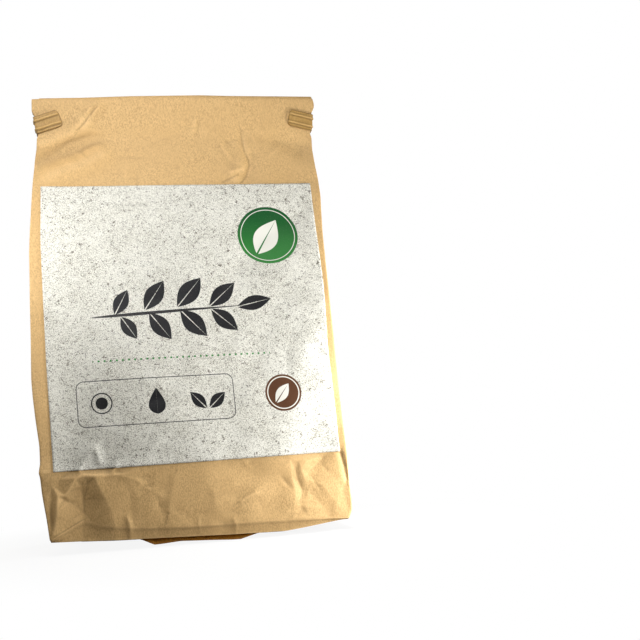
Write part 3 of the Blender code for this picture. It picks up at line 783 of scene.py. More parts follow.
def make_bag(material):
    """The bag's outer surface: all rings in one closed mesh, with the masks of painted highlight
    and shade on its front.
    """
    parts = [base_rows(), standing_rows(), folded_rows()]
    x, y, z = (np.concatenate(part, axis=0) for part in zip(*parts))
    points = np.stack((x, y, z + along(TOP_LINE, x) * ease(*TOP_RISE, z)), axis=-1)
    rows, columns = x.shape
    here = np.arange(columns)
    fan = np.stack((np.full(columns, rows * columns), (here + 1) % columns, here), axis=-1)
    faces = grid_faces(rows, columns, True).tolist() + fan.tolist()
    faces.append(tuple(range((rows - 1) * columns, rows * columns)))
    centre = points[0].mean(axis=0)
    points = np.concatenate((points.reshape(-1, 3), centre[None, :]))
    bag = new_piece("paper_bag_outside", points, faces, material)
    width = half_width(x, z)
    panel = ~gusset_mask()
    front = (y < 0) & (np.abs(x) < width - MASK_MARGIN) & (z < MASK_HIGH) & (z > MASK_LOW) & panel
    ridge_wear_and_highlight, painted_shade = (mask * front for mask in relief_masks(x, z, width))
    crease_row = len(parts[0][0])
    fore = (y[crease_row] < 0) & panel
    # Base crease lighter, as wear and painted highlight; a painted shadow line on the strip just
    # under it; the strip's lower edge lighter, as wear and painted highlight
    ridge_wear_and_highlight[crease_row, fore] = 1.0
    painted_shade[crease_row - 1, fore] = 0.65
    ridge_wear_and_highlight[crease_row - STRIP_ROWS, fore] = 0.9
    # Painted shadow just above the crease's slanting fold in the lower left corner
    corner = fore & (x[crease_row] < CORNER_FOLD_END)
    painted_shade[crease_row + 1 : crease_row + 3, corner] = 1.0
    set_mask(bag, "ridge_wear_and_highlight", np.append(ridge_wear_and_highlight, 0))
    set_mask(bag, "painted_shade", np.append(painted_shade, 0))
    return bag


def make_label(material):
    """The glued sheet: it lies on the front panel at every point, a hair in front of it."""
    v = np.linspace(0, 1, LABEL_ROWS + 1)[:, None]
    u = np.linspace(0, 1, LABEL_COLUMNS + 1)[None, :]
    z = LABEL_BOTTOM + v * (LABEL_TOP - LABEL_BOTTOM)
    left, right = along(LABEL_LEFT, z, LABEL_REACH), along(LABEL_RIGHT, z, LABEL_REACH)
    x = left + u * (right - left)
    z = z + 0 * x
    points = np.stack((x, -(front_offset(x, z) + LABEL_LIFT), z), axis=-1)
    label = new_sheet("label_sheet", points, material, LABEL_THICKNESS)
    sheet = label.data.uv_layers.new(name="sheet")
    corners = np.empty(len(label.data.loops), np.int32)
    label.data.loops.foreach_get("vertex_index", corners)
    places = np.stack([np.broadcast_to(share, x.shape).ravel() for share in (u, v)], axis=-1)
    sheet.data.foreach_set("uv", places[corners].astype(np.float32).ravel())
    return label


# Front end of the pasted bottom flap: its ends in x, its place y, how far it goes back, and x
# with the heights of its upper and lower edge
FLAP_ENDS = (-0.0409, 0.0364)
FLAP_FRONT = -0.0446
FLAP_BACK = 0.0120
FLAP_THICKNESS = 0.00025
SHEET_THICKNESS = 0.00015
FLAP_TOP_EDGE = ((-0.0410, 0.0060), (-0.0158, 0.0052), (0.0214, 0.0037), (0.0365, 0.0034))
FLAP_LOW_EDGE = (
    (-0.0410, 0.0060), (-0.0320, 0.0016), (-0.0270, 0.0017), (-0.0150, 0.0024), (0.0030, 0.0014),
    (0.0180, 0.0004), (0.0240, 0.0002), (0.0256, 0.0006), (0.0365, 0.0033),
)


def make_flap(material):
    """Pasted flap under the front: down from the strip to its fold, then back under the bag."""
    x = np.linspace(*FLAP_ENDS, 110)[None, :]
    high, low = along(FLAP_TOP_EDGE, x), along(FLAP_LOW_EDGE, x)
    fall = np.linspace(0, 1, 9)[:, None]
    bulge = 0.0006 * np.sin(math.pi * fall) + waves(x, fall * 0.01, *FLAP_WAVES)
    front_y = FLAP_FRONT - 0.0016 * fall - bulge * ease(0, 0.3, fall)
    back = np.linspace(0, 1, 10)[1:, None]
    y = np.concatenate((front_y, front_y[-1:] + back * FLAP_BACK))
    z = np.concatenate((high + (low - high) * fall, low * (1 - 0.2 * back) + 0.0001)) + 0.0002
    points = np.stack((np.repeat(x, len(y), axis=0), y, z), axis=-1)
    return new_sheet("bottom_flap_end", points, material, FLAP_THICKNESS, -1)


def make_base_sheet(name, near, far, level, material):
    """One sheet of the folded bottom: even between its near and far edge, a hair thick.

    Each edge is two corners (x, y). Soft waves keep the sheet from being quite flat.
    """
    u = np.linspace(0, 1, 60)[None, :, None]
    v = np.linspace(0, 1, 40)[:, None, None]
    near_line, far_line = (
        np.array(first) + u * (np.array(last) - np.array(first)) for first, last in (near, far)
    )
    flat = near_line + v * (far_line - near_line)
    x, y = flat[..., 0], flat[..., 1]
    dip = SHEET_WAVES[0] + waves(x, y, *SHEET_WAVES)
    rise = under_height(x, y, UNDER_LEVEL) - UNDER_LEVEL
    points = np.concatenate((flat, (level + rise + dip)[..., None]), axis=-1)
    return new_sheet(name, points, material, SHEET_THICKNESS, -1)


def tie_half(side, tilt, level, table, front, back):
    """Half of the tie's route: a straight tab, then two quarter circles round the side fold.

    Returns its points, its directions along the strip and its directions out of the face.
    """
    turn = np.linspace(0, math.pi / 2, 8)[:, None]
    forwards, backwards = np.array((0.0, -1.0, 0.0)), np.array((0.0, 1.0, 0.0))
    turn_x = side * (float(along(table, level)) + PAPER / 2 + CLEARANCE - TIE_BEND)
    rise = float(along(table, NECK_HIGH) - along(table, NECK_LOW))
    lean = math.atan2(rise, NECK_HIGH - NECK_LOW)
    outwards = np.array((side * math.cos(tilt), 0.0, -math.sin(tilt)))
    sideways = np.array((side * math.cos(lean), 0.0, -math.sin(lean)))
    reach = np.linspace(TAB_LENGTH, 0, 34, endpoint=False)[:, None]
    ones = np.ones_like(reach)
    first_face = sideways * np.sin(turn) + forwards * np.cos(turn)
    second_face = sideways * np.cos(turn) + backwards * np.sin(turn)
    points = (
        np.array((turn_x, front, level)) - outwards * reach,
        np.array((turn_x, front + TIE_BEND, level)) + first_face * TIE_BEND,
        np.array((turn_x, back - TIE_BEND, level)) + second_face * TIE_BEND,
    )
    way = (
        ones * outwards,
        outwards * np.cos(turn) + backwards * np.sin(turn),
        np.concatenate((-side * np.sin(turn), np.cos(turn), 0 * turn), axis=1),
    )
    face = (ones * forwards, first_face, second_face)
    return [np.concatenate(part) for part in (points, way, face)]


def tie_route():
    """The tie's inner face from the left tab's end round the back to the right tab's end.

    Returns points, directions up the tie's width and out of its face, and distances to the
    nearer end.
    """
    front = -(FLAT_DEPTH + PAPER / 2 + CLEARANCE)
    back = 2 * BEND_OFFSET - front
    left, left_way, left_face = tie_half(
        -1, LEFT_TAB_ANGLE, LEFT_TIE_HEIGHT, LEFT_EDGE, front, back
    )
    right, right_way, right_face = tie_half(
        1, RIGHT_TAB_ANGLE, RIGHT_TIE_HEIGHT, RIGHT_EDGE, front, back
    )
    share = np.linspace(0, 1, 70)[1:-1, None]
    ones = np.ones_like(share)
    points = np.concatenate((left, left[-1] + (right[-1] - left[-1]) * share, right[::-1]))
    way = np.concatenate((left_way, ones * (1.0, 0.0, 0.0), -right_way[::-1]))
    face = np.concatenate((left_face, ones * (0.0, 1.0, 0.0), right_face[::-1]))
    up = np.cross(way, face)
    up /= np.linalg.norm(up, axis=1, keepdims=True)
    face = np.cross(up, way)
    face /= np.linalg.norm(face, axis=1, keepdims=True)
    steps = np.linalg.norm(np.diff(points, axis=0), axis=1)
    travelled = np.concatenate(([0.0], np.cumsum(steps)))
    return points, up, face, np.minimum(travelled, travelled[-1] - travelled)


def make_tie(material):
    """Tin tie: a flat strip with two soft ribs over its wires, its ends cut with round corners.

    Across the strip b runs between its edges; the outer face stands TIE_WEB off the inner one,
    plus a bell over each wire. Near an end the half width follows a quarter circle. Its masks
    paint shade along its cut edge and beside each rib, and a highlight on the ribs.
    """
    points, up, face, ahead = tie_route()
    corner = np.clip(1 - ahead / TAB_CORNER, 0, 1)
    half_here = TIE_WIDTH / 2 - TAB_CORNER * (1 - np.sqrt(1 - corner**2))
    across = np.linspace(-1, 1, 33)
    outer_b = half_here[:, None] * across[None, :]
    fade = ease(*RIB_END, ahead)[:, None]
    offsets = (-RIB_OFFSET, RIB_OFFSET)
    ribs = sum(np.exp(-(((outer_b - b) / RIB_WIDTH) ** 4)) for b in offsets)
    rib_shadow = sum(np.exp(-(((outer_b - b + RIB_SHADOW_SHIFT) / RIB_SHADOW_WIDTH) ** 2)) for b in offsets) * fade
    rim = np.sqrt(1 - ((np.abs(across) - RIM_START) / (1 - RIM_START)).clip(0, 1) ** 2)[None, :]
    outer_n = TIE_WEB * (0.35 + 0.65 * rim) + (TIE_RIB - TIE_WEB) * ribs * fade
    wear = waves(outer_b, ahead[:, None], *TIE_WAVES)
    inner_b = outer_b[:, ::-1]
    b = np.concatenate((outer_b, inner_b), axis=1)
    n = np.concatenate((outer_n + wear, 0 * inner_b), axis=1)
    rings = points[:, None, :] + b[..., None] * up[:, None, :] + n[..., None] * face[:, None, :]
    rows, columns = rings.shape[:2]
    faces = grid_faces(rows, columns, True).tolist()
    faces += [tuple(reversed(range(columns))), tuple(range((rows - 1) * columns, rows * columns))]
    tie = new_piece("tin_tie", rings, faces, material, 40.0)
    # Masks for the material: painted shade along the cut edge and beside each rib, painted
    # highlight on the ribs
    to_edge = np.minimum(half_here[:, None] - np.abs(outer_b), ahead[:, None])
    rim_shade = ease(*RIM_SHADE, to_edge)
    for name, mask in (("painted_shade", np.maximum(rim_shade, rib_shadow)), ("ridge_wear_and_highlight", 0.7 * ribs * fade)):
        set_mask(tie, name, np.concatenate((mask, 0 * inner_b), axis=1))
    return tie


class Wiring:
    """Short hand for laying out a node tree: a call adds a node and gives back its output."""

    def __init__(self, tree):
        self.tree = tree

    def feed(self, socket, value):
        if isinstance(value, bpy.types.NodeSocket):
            self.tree.links.new(value, socket)
        else:
            socket.default_value = value

    def feed_named(self, sockets, **values):
        """Feeds sockets by name, with an underscore for a space."""
        for name, value in values.items():
            self.feed(sockets[name.replace("_", " ")], value)

    def node(self, kind, values=(), **settings):
        """A node of this kind with these settings, its sockets fed in order or by number."""
        node = self.tree.nodes.new(f"ShaderNode{kind}")
        for name, value in settings.items():
            setattr(node, name, value)
        for key, value in values.items() if isinstance(values, dict) else enumerate(values):
            self.feed(node.inputs[key], value)
        return node

    def math(self, operation, a, b=0.0, clamp=False):
        return self.node("Math", (a, b), operation=operation, use_clamp=clamp).outputs[0]

    def times(self, a, b):
        return self.math("MULTIPLY", a, b)

    def gap(self, a, b):
        """The difference of two numbers without its sign."""
        return self.math("ABSOLUTE", self.math("SUBTRACT", a, b))

    def vector(self, operation, a, b=(0, 0, 0), output=0):
        return self.node("VectorMath", (a, b), operation=operation).outputs[output]

    def mix(self, share, first, second):
        return self.node("Mix", {0: share, 6: first, 7: second}, data_type="RGBA").outputs[2]

    def fit(self, value, low, high, to_low=0.0, to_high=1.0):
        values = (value, low, high, to_low, to_high)
        return self.node("MapRange", values, interpolation_type="SMOOTHSTEP").outputs[0]

    def noise(self, vector, scale, detail=2.0, roughness=0.5, distortion=0.0):
        node = self.node("TexNoise")
        self.feed_named(
            node.inputs, Vector=vector, Scale=scale, Detail=detail, Roughness=roughness,
            Distortion=distortion,
        )
        return node.outputs[0]

    def stretched(self, vector, sizes):
        return self.node("Mapping", {"Vector": vector, "Scale": sizes}).outputs[0]

    def place(self):
        """The place on the object, in metres."""
        return self.node("TexCoord").outputs["Object"]

    def mask(self, name):
        """A number that the mesh keeps for each point."""
        return self.node("Attribute", attribute_name=name).outputs["Fac"]

    def bump(self, strength, distance, height):
        node = self.node("Bump")
        self.feed_named(node.inputs, Strength=strength, Distance=distance, Height=height)
        return node.outputs[0]

    def group(self, tree, **values):
        node = self.node("Group", node_tree=tree)
        self.feed_named(node.inputs, **values)
        return node.outputs


def new_group(name, inputs, outputs):
    """An empty shader group with named sockets; inputs are (name, kind, value)."""
    tree = bpy.data.node_groups.new(name, "ShaderNodeTree")
    for label, kind, value in inputs:
        socket = tree.interface.new_socket(label, in_out="INPUT", socket_type=f"NodeSocket{kind}")
        socket.default_value = value
    for label in outputs:
        tree.interface.new_socket(label, in_out="OUTPUT", socket_type="NodeSocketFloat")
    given = tree.nodes.new("NodeGroupInput").outputs
    return Wiring(tree), given, tree.nodes.new("NodeGroupOutput").inputs


def new_material(name):
    """A material with its wiring and the sockets of its main shader."""
    material = bpy.data.materials.new(name)
    material.use_nodes = True
    web = Wiring(material.node_tree)
    return material, web, material.node_tree.nodes["Principled BSDF"].inputs


def fibre_group():
    """Paper in close view: cloudy mottling, a felt of fine fibres and sparse dark flecks."""
    web, given, result = new_group(
        "paper fibres",
        (("Place", "Vector", (0, 0, 0)), ("Fleck share", "Float", 0.3)),
        ("Mottle", "Felt", "Flecks", "Height"),
    )
    place = given["Place"]
    cloud = web.noise(place, 55.0, 3.0, 0.55)
    grain = web.noise(place, 950.0, 2.0, 0.6)
    fine = web.noise(web.stretched(place, (1.0, 1.0, 0.35)), 1700.0, 1.0, 0.5)
    felt = web.math("ADD", web.times(grain, 0.55), web.times(fine, 0.45))
    thread = web.fit(web.gap(web.noise(place, 300.0, 1.0, 0.5, 1.2), 0.5), 0.008, 0.030, 1.0, 0.0)
    gate = web.fit(web.noise(place, 240.0, 1.0, 0.5), 0.51, 0.57)
    speck = web.fit(web.noise(place, 950.0, 1.0, 0.4), 0.60, 0.70)
    both = web.math("MAXIMUM", web.times(thread, gate), speck)
    web.feed_named(
        result, Mottle=cloud, Felt=felt, Height=web.math("ADD", felt, web.times(cloud, 0.4)),
        Flecks=web.math("MULTIPLY", both, given["Fleck share"], True),
    )
    return web.tree


def paper_material(name, fibres, colours, roughness, fleck_share, bump, masks=0.0):
    """Kraft or similar paper: colours are dark, middle, light, fleck; masks is the strength of the
    painted highlight and shade that the mesh's crease masks give.
    """
    material, web, shader = new_material(name)
    mottle, felt, flecks, height = web.group(fibres, Place=web.place(), Fleck_share=fleck_share)
    dark, middle, light, fleck = colours
    colour = web.mix(web.fit(felt, 0.38, 0.62), dark, light)
    colour = web.mix(web.fit(mottle, 0.30, 0.70, 0.10, 0.60), colour, middle)
    colour = web.mix(flecks, colour, fleck)
    if masks:
        # Creases lighter as wear and painted highlight, concave places darker as painted shade
        worn_and_lit = tuple(min(1.0, c * 1.22 + 0.03) for c in light[:3]) + (1.0,)
        shaded = tuple(c * 0.60 for c in dark[:3]) + (1.0,)
        colour = web.mix(web.times(web.mask("ridge_wear_and_highlight"), 0.75 * masks), colour, worn_and_lit)
        colour = web.mix(web.times(web.mask("painted_shade"), masks), colour, shaded)
    web.feed_named(
        shader, Base_Color=colour, Specular_IOR_Level=0.35,
        Roughness=web.fit(felt, 0.3, 0.7, roughness - 0.06, roughness + 0.08),
        Normal=web.bump(bump, 0.0003, height),
    )
    return material


def leaf_group():
    """A leaf's mask: between its base and its tip, inside a half width that follows a sine."""
    sizes = (
        ("Angle", 0.0), ("Length", 0.01), ("Half width", 0.002), ("Skew", 1.0), ("Vein", 0.0003),
    )
    web, given, result = new_group(
        "leaf mark",
        [(label, "Vector", (0, 0, 0)) for label in ("Place", "Base")]
        + [(label, "Float", value) for label, value in sizes],
        ("Mask",),
    )
    away = web.vector("SUBTRACT", given["Place"], given["Base"])
    values = {"Vector": away, "Angle": web.times(given["Angle"], -1.0)}
    local = web.node("VectorRotate", values, rotation_type="Z_AXIS").outputs[0]
    split = web.node("SeparateXYZ", (local,)).outputs
    share = web.math("DIVIDE", split[0], given["Length"])
    inside = web.times(web.math("GREATER_THAN", share, 0.0), web.math("LESS_THAN", share, 1.0))
    kept = web.math("MAXIMUM", share, 0.0001)
    wave = web.math("SINE", web.times(web.math("POWER", kept, given["Skew"]), math.pi))
    across = web.math("ABSOLUTE", split[1])
    room = web.math("SUBTRACT", web.times(wave, given["Half width"]), across)
    vein_half = web.times(given["Vein"], web.math("SUBTRACT", 1.0, kept))
    clear = web.fit(web.math("SUBTRACT", across, vein_half), -0.00006, 0.00006)
    body = web.fit(room, -0.00008, 0.00008)
    web.feed(result["Mask"], web.times(web.times(body, inside), clear))
    return web.tree


# Label print, in metres from the sheet's lower left corner
LABEL_SIZE = (0.1915, 0.1956, 1.0)
PAPER_WHITE = (0.775, 0.765, 0.690, 1.0)
PAPER_FELT = (0.27, 0.25, 0.195, 1.0)
PAPER_MOTTLE = (0.82, 0.81, 0.74, 1.0)
PAPER_FLECK = (0.09, 0.075, 0.055, 1.0)
INK_BLACK = (0.010, 0.010, 0.012, 1.0)
INK_GREEN = (0.028, 0.20, 0.035, 1.0)
INK_DEEP_GREEN = (0.004, 0.075, 0.016, 1.0)
INK_BROWN = (0.095, 0.038, 0.016, 1.0)
GREEN_MARK = (0.1560, 0.1560, 0.0)
BROWN_MARK = (0.1560, 0.0420, 0.0)
RING_MARK = (0.0340, 0.0420, 0.0)
FRAME_MIDDLE = (0.0700, 0.0420, 0.0)
FRAME_HALF = (0.0520, 0.0150)
DOTS_PER_METRE = 250.0
DOTS_PLACE = (0.0900, 0.0700)
# Leaf marks: x and y of the base, angle in degrees, length, half width, then skew and vein. The
# black ones are the sprig's nine leaves, its stalk, the drop and the pair of leaves.
BLACK_LEAVES = (
    (0.046, 0.1010, 62, 0.020, 0.0050), (0.050, 0.1000, -58, 0.019, 0.0048),
    (0.066, 0.1035, 56, 0.025, 0.0062), (0.069, 0.1020, -54, 0.024, 0.0060),
    (0.088, 0.1048, 50, 0.027, 0.0068), (0.090, 0.1030, -48, 0.026, 0.0066),
    (0.110, 0.1045, 42, 0.025, 0.0060), (0.111, 0.1030, -42, 0.024, 0.0058),
    (0.129, 0.1036, 12, 0.025, 0.0052), (0.030, 0.1000, 2.5, 0.112, 0.0011, 0.6, 0.0),
    (0.0700, 0.0330, 90, 0.0175, 0.0056, 0.62, 0.0), (0.1045, 0.0345, 42, 0.0155, 0.0040),
    (0.1030, 0.0345, 132, 0.0155, 0.0040),
)
GREEN_MARK_LEAF = (0.1470, 0.1420, 58, 0.0300, 0.0085, 0.9, 0.0007)
BROWN_MARK_LEAF = (0.1500, 0.0350, 52, 0.0165, 0.0040, 1.0, 0.0005)


def disc(web, place, centre, radius, edge=0.0001):
    """Mask of a round spot."""
    away = web.vector("DISTANCE", place, centre, output=1)
    return web.fit(away, radius - edge, radius + edge, 1.0, 0.0)


def ring(web, place, centre, radius, half, edge=0.0001):
    """Mask of a round line, half its width to either side of the radius."""
    off = web.gap(web.vector("DISTANCE", place, centre, output=1), radius)
    return web.fit(off, half - edge, half + edge, 1.0, 0.0)


def frame_line(web, place, centre, half_size, corner, half_line):
    """Outline of a rectangle with round corners, from the distance to its inner rectangle."""
    away = web.vector("ABSOLUTE", web.vector("SUBTRACT", place, centre))
    inner = (half_size[0] - corner, half_size[1] - corner, 1.0)
    over = web.vector("MAXIMUM", web.vector("SUBTRACT", away, inner), (0, 0, 0))
    off = web.gap(web.vector("LENGTH", over, output=1), corner)
    return web.fit(off, half_line - 0.00008, half_line + 0.00008, 1.0, 0.0)


def join(web, masks):
    """The union of some masks."""
    total = masks[0]
    for mask in masks[1:]:
        total = web.math("MAXIMUM", total, mask)
    return total


def dotted_line(web, x, y):
    """A row of small dots across the sheet."""
    dots = web.gap(web.math("FRACT", web.times(x, DOTS_PER_METRE)), 0.5)
    row = web.fit(web.gap(y, DOTS_PLACE[1]), 0.0005, 0.0007, 1.0, 0.0)
    span = web.fit(web.gap(x, DOTS_PLACE[0]), 0.0599, 0.0600, 1.0, 0.0)
    return web.times(web.times(web.fit(dots, 0.14, 0.18, 1.0, 0.0), row), span)


def label_material(fibres):
    """Off-white recycled sheet with dark fibres, printed with plain leaf motifs and a frame."""
    material, web, shader = new_material("label_paper")
    sheet = web.node("UVMap", uv_map="sheet").outputs[0]
    place = web.vector("MULTIPLY", sheet, LABEL_SIZE)
    x, y, _ = web.node("SeparateXYZ", (place,)).outputs
    leaf = leaf_group()
    mottle, felt, flecks, height = web.group(fibres, Place=place, Fleck_share=0.92)
    paper = web.mix(web.fit(felt, 0.38, 0.54), PAPER_FELT, PAPER_WHITE)
    paper = web.mix(web.fit(mottle, 0.35, 0.68, 0.0, 0.40), paper, PAPER_MOTTLE)
    paper = web.mix(flecks, paper, PAPER_FLECK)

    def mark(base_x, base_y, degrees, length, half, skew=1.0, vein=0.0004):
        return web.group(
            leaf, Place=place, Base=(base_x, base_y, 0.0), Angle=math.radians(degrees),
            Length=length, Half_width=half, Skew=skew, Vein=vein,
        )[0]

    black = join(web, [mark(*row) for row in BLACK_LEAVES] + [
        frame_line(web, place, FRAME_MIDDLE, FRAME_HALF, 0.0050, 0.00026),
        disc(web, place, RING_MARK, 0.0040),
        ring(web, place, RING_MARK, 0.0066, 0.0004),
    ])
    white = join(web, [mark(*GREEN_MARK_LEAF), ring(web, place, GREEN_MARK, 0.0192, 0.00025)])
    cream = join(web, [ring(web, place, BROWN_MARK, 0.0108, 0.00035), mark(*BROWN_MARK_LEAF)])
    deepening = web.mix(web.fit(y, 0.136, 0.176), INK_GREEN, INK_DEEP_GREEN)
    wear = web.fit(felt, 0.28, 0.46, 0.90, 1.0)
    colour = paper
    for mask, ink in (
        (web.times(black, wear), INK_BLACK),
        (web.times(disc(web, place, GREEN_MARK, 0.0215), wear), deepening),
        (web.times(dotted_line(web, x, y), wear), INK_GREEN),
        (white, PAPER_WHITE),
        (web.times(disc(web, place, BROWN_MARK, 0.0125), wear), INK_BROWN),
        (cream, PAPER_WHITE),
    ):
        colour = web.mix(mask, colour, ink)
    web.feed_named(
        shader, Base_Color=colour, Specular_IOR_Level=0.25,
        Roughness=web.fit(felt, 0.3, 0.7, 0.42, 0.56), Normal=web.bump(0.25, 0.0002, height),
    )
    return material


def steel_material():
    """Drawn steel wire: fine lines along it and a thin uneven oxide."""
    material, web, shader = new_material("tie_wire_steel")
    place = web.place()
    drawn = web.noise(web.stretched(place, (40.0, 3000.0, 3000.0)), 1.0, 2.0)
    spots = web.noise(place, 700.0, 3.0)
    web.feed_named(
        shader, Base_Color=web.mix(spots, (0.62, 0.62, 0.63, 1), (0.42, 0.40, 0.37, 1)),
        Roughness=web.fit(drawn, 0.3, 0.7, 0.25, 0.45), Metallic=1.0,
    )
    return material


def leaf_material():
    """Kale leaf: deep green blades with paler veins and stalks, waxy."""
    material, web, shader = new_material("kale_leaf_green")
    place = web.place()
    values = {"Vector": place, "Scale": 160.0}
    cells = web.node("TexVoronoi", values, feature="DISTANCE_TO_EDGE").outputs[0]
    veins = web.fit(cells, 0.0, 0.08, 1.0, 0.0)
    tone = web.noise(place, 60.0, 4.0)
    colour = web.mix(web.fit(tone, 0.35, 0.65), (0.020, 0.085, 0.018, 1), (0.055, 0.17, 0.035, 1))
    web.feed_named(
        shader, Base_Color=web.mix(web.times(veins, 0.5), colour, (0.20, 0.33, 0.12, 1)),
        Roughness=web.fit(tone, 0.3, 0.7, 0.35, 0.55), Normal=web.bump(0.5, 0.0006, veins),
    )
    return material


def stage_sheet(name, corners, material):
    """A flat thing of the studio, with these corners."""
    mesh = bpy.data.meshes.new(name)
    mesh.from_pydata(corners, [], [tuple(range(len(corners)))])
    mesh.materials.append(material)
    return add_object(name, mesh)


def make_floor():
    """A wide pale floor, level with the bag's base, that fades to studio white round the bag.

    The bag itself gets little light back from it: to all but camera rays it is a grey floor.
    """
    material, web, shader = new_material("studio_floor")
    nodes = material.node_tree.nodes
    place = web.place()
    seen = web.node("LightPath").outputs[0]
    pale = web.mix(web.noise(place, 3.0, 2.0), (0.90, 0.90, 0.90, 1), (0.92, 0.92, 0.92, 1))
    colour = web.mix(seen, (0.22, 0.21, 0.20, 1), pale)
    web.feed_named(shader, Base_Color=colour, Roughness=0.8)
    away = web.vector("LENGTH", place, output=1)
    share = web.times(web.fit(away, 0.10, 0.24, 0.90, 1.0), seen)
    white = web.node("Emission", {"Color": (1, 1, 1, 1), "Strength": 1.0}).outputs[0]
    blend = web.node("MixShader", (share, nodes["Principled BSDF"].outputs[0], white)).outputs[0]
    web.feed(nodes["Material Output"].inputs["Surface"], blend)
    size = 6.0
    corners = [(-size, -size, 0), (size, -size, 0), (size, size, 0), (-size, size, 0)]
    floor = stage_sheet("floor", corners, material)


def make_shade_card():
    """A grey studio card beside the right gusset, which the camera doesn't see.

    It keeps the near lamp at the right off the gusset, and gives back the collection by which the
    lamp behind the bag leaves it out.
    """
    material, web, shader = new_material("studio_card")
    tone = web.noise(web.place(), 20.0)
    web.feed_named(
        shader, Base_Color=web.mix(tone, (0.10, 0.10, 0.10, 1), (0.14, 0.14, 0.14, 1))
    )
    card = stage_sheet("studio_card", [(CARD_PLACE, y, z) for y, z in CARD_OUTLINE], material)
    card.visible_camera = card.visible_diffuse = card.visible_glossy = False
    left_out = bpy.data.collections.new("not shaded by the card")
    left_out.objects.link(card)
    left_out.collection_objects[0].light_linking.link_state = "EXCLUDE"
    return left_out


def make_light(name, place, target, size, power, spread=180.0):
    """A square lamp at a place, turned to a target."""
    light = bpy.data.lights.new(name, "AREA")
    light.shape = "SQUARE"
    light.size = size
    light.energy = power
    light.spread = math.radians(spread)
    lamp = add_object(name, light)
    lamp.location = place
    lamp.rotation_euler = (Vector(target) - Vector(place)).to_track_quat("-Z", "Y").to_euler()
    lamp.visible_camera = False
    return lamp


def make_lights():
    """Soft even light all round, and lamps at the right, in front, behind and at the left.

    The lamp behind isn't held off by the shade card.
    """
    world = bpy.context.scene.world or bpy.data.worlds.new("studio")
    bpy.context.scene.world = world
    world.use_nodes = True
    web = Wiring(world.node_tree)
    seen = web.node("LightPath").outputs[0]
    web.feed_named(
        world.node_tree.nodes["Background"].inputs, Strength=web.fit(seen, 0.0, 1.0, AMBIENT, 1.0),
        Color=web.mix(seen, (1.0, 0.90, 0.60, 1.0), (1.0, 1.0, 1.0, 1.0)),
    )
    make_light("low right", (0.25, -0.10, 0.07), (0.03, -0.03, 0.08), 0.12, LOW_RIGHT_POWER)
    make_light("high front", (-0.08, -0.23, 0.44), (0.0, -0.02, 0.22), 0.26, HIGH_FRONT_POWER)
    make_light(
        "left edge", (-0.20, -0.11, 0.22), (-0.10, -0.05, 0.20), 0.08, LEFT_EDGE_POWER, 95.0
    )
    behind = make_light("behind", (0.60, 0.70, 0.45), (0.0, 0.05, 0.14), 0.50, BACK_POWER)
    behind.light_linking.blocker_collection = make_shade_card()
    make_light("left side", (-0.80, 0.25, 0.35), (-0.10, 0.03, 0.14), 0.40, SIDE_POWER)


def make_camera():
    """The photograph's view: azimuth, elevation and roll as fitted, no shift."""
    a, e, r = CAMERA_AZIMUTH, CAMERA_ELEVATION, CAMERA_ROLL
    back = Vector((math.sin(a) * math.cos(e), -math.cos(a) * math.cos(e), math.sin(e)))
    right = (-back).cross(Vector((0, 0, 1))).normalized()
    up = right.cross(-back)
    rolled_right = right * math.cos(r) + up * math.sin(r)
    rolled_up = up * math.cos(r) - right * math.sin(r)
    turn = Matrix((rolled_right, rolled_up, back)).transposed()
    camera = bpy.data.cameras.new("view")
    camera.sensor_width = SENSOR_WIDTH
    camera.lens = FOCAL_PIXELS * SENSOR_WIDTH / IMAGE_PIXELS
    camera.clip_start = 0.02
    holder = add_object("view", camera)
    holder.matrix_world = Matrix.Translation(CAMERA_PLACE) @ turn.to_4x4()
    bpy.context.scene.camera = holder


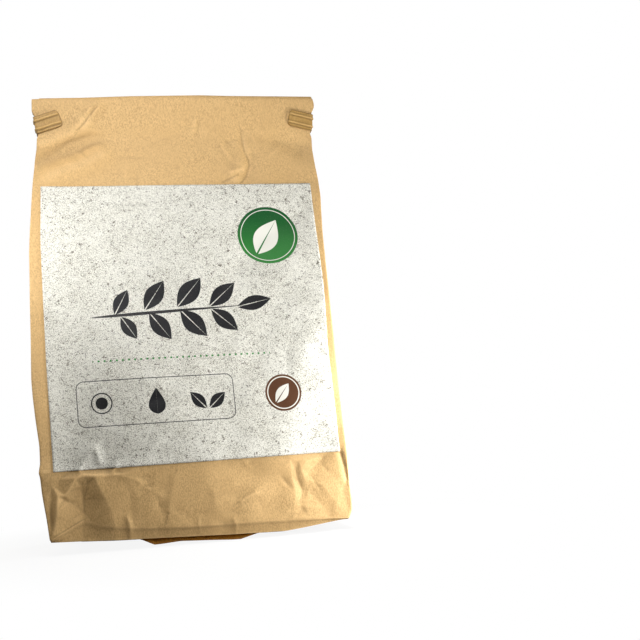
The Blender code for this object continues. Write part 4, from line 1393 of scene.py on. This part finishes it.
# Papers: colours (dark, middle, light, fleck), roughness, share of flecks, bump, strength of the
# painted crease highlight and shade
KRAFT = (
    ((0.48, 0.302, 0.120, 1), (0.60, 0.385, 0.163, 1), (0.72, 0.480, 0.215, 1),
     (0.24, 0.125, 0.045, 1)), 0.62, 0.16, 0.40, 0.42,
)
# Darker, deeper orange copy of the kraft for the bottom flap under the strip: painted shade
SHADED_FLAP_KRAFT = (
    ((0.21, 0.080, 0.004, 1), (0.31, 0.125, 0.006, 1), (0.44, 0.190, 0.012, 1),
     (0.09, 0.032, 0.003, 1)), 0.55, 0.40, 0.30,
)
TIE_PAPER = (
    ((0.34, 0.200, 0.058, 1), (0.43, 0.258, 0.080, 1), (0.52, 0.325, 0.110, 1),
     (0.18, 0.100, 0.035, 1)), 0.50, 0.15, 0.30, 0.95,
)
# Sheets of the folded bottom: near and far edge (two corners each) and height
REAR_SHEET = ((-0.080, 0.034), (0.082, 0.034)), ((-0.062, -0.006), (0.064, -0.006)), 0.0003
FRONT_SHEET = ((0.080, -0.034), (-0.078, -0.034)), ((0.062, 0.004), (-0.060, 0.004)), 0.0006


def main():
    """Camera, lights and floor, then the bag's pieces and the materials of the CAD nodes."""
    make_camera()
    make_lights()
    make_floor()
    bpy.context.scene.view_settings.view_transform = "Standard"
    fibres = fibre_group()
    kraft = paper_material("kraft_paper", fibres, *KRAFT)
    bag = make_bag(kraft)
    label = make_label(label_material(fibres))
    # The bottom flap takes the darker kraft copy, as painted shade
    flap = make_flap(paper_material("flap_kraft_painted_shade", fibres, *SHADED_FLAP_KRAFT))
    tie = make_tie(paper_material("tie_paper", fibres, *TIE_PAPER))
    rear = make_base_sheet("base_rear_sheet", *REAR_SHEET, kraft)
    fore = make_base_sheet("base_front_sheet", *FRONT_SHEET, kraft)
    for piece, slot in (
        (bag, "kraft_paper"), (label, "label_paper"), (flap, "kraft_paper"), (tie, "tie_paper"),
        (rear, "kraft_paper"), (fore, "kraft_paper"),
    ):
        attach(piece, "root")
    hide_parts("paper_bag")
    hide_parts("front_label")
    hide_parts("tie_strip")
    for name, material in (
        ("tie_wire_upper", steel_material()), ("tie_wire_lower", steel_material()),
        ("kale_leaves", leaf_material()),
    ):
        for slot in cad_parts[name].material_slots:
            slot.material = material


main()
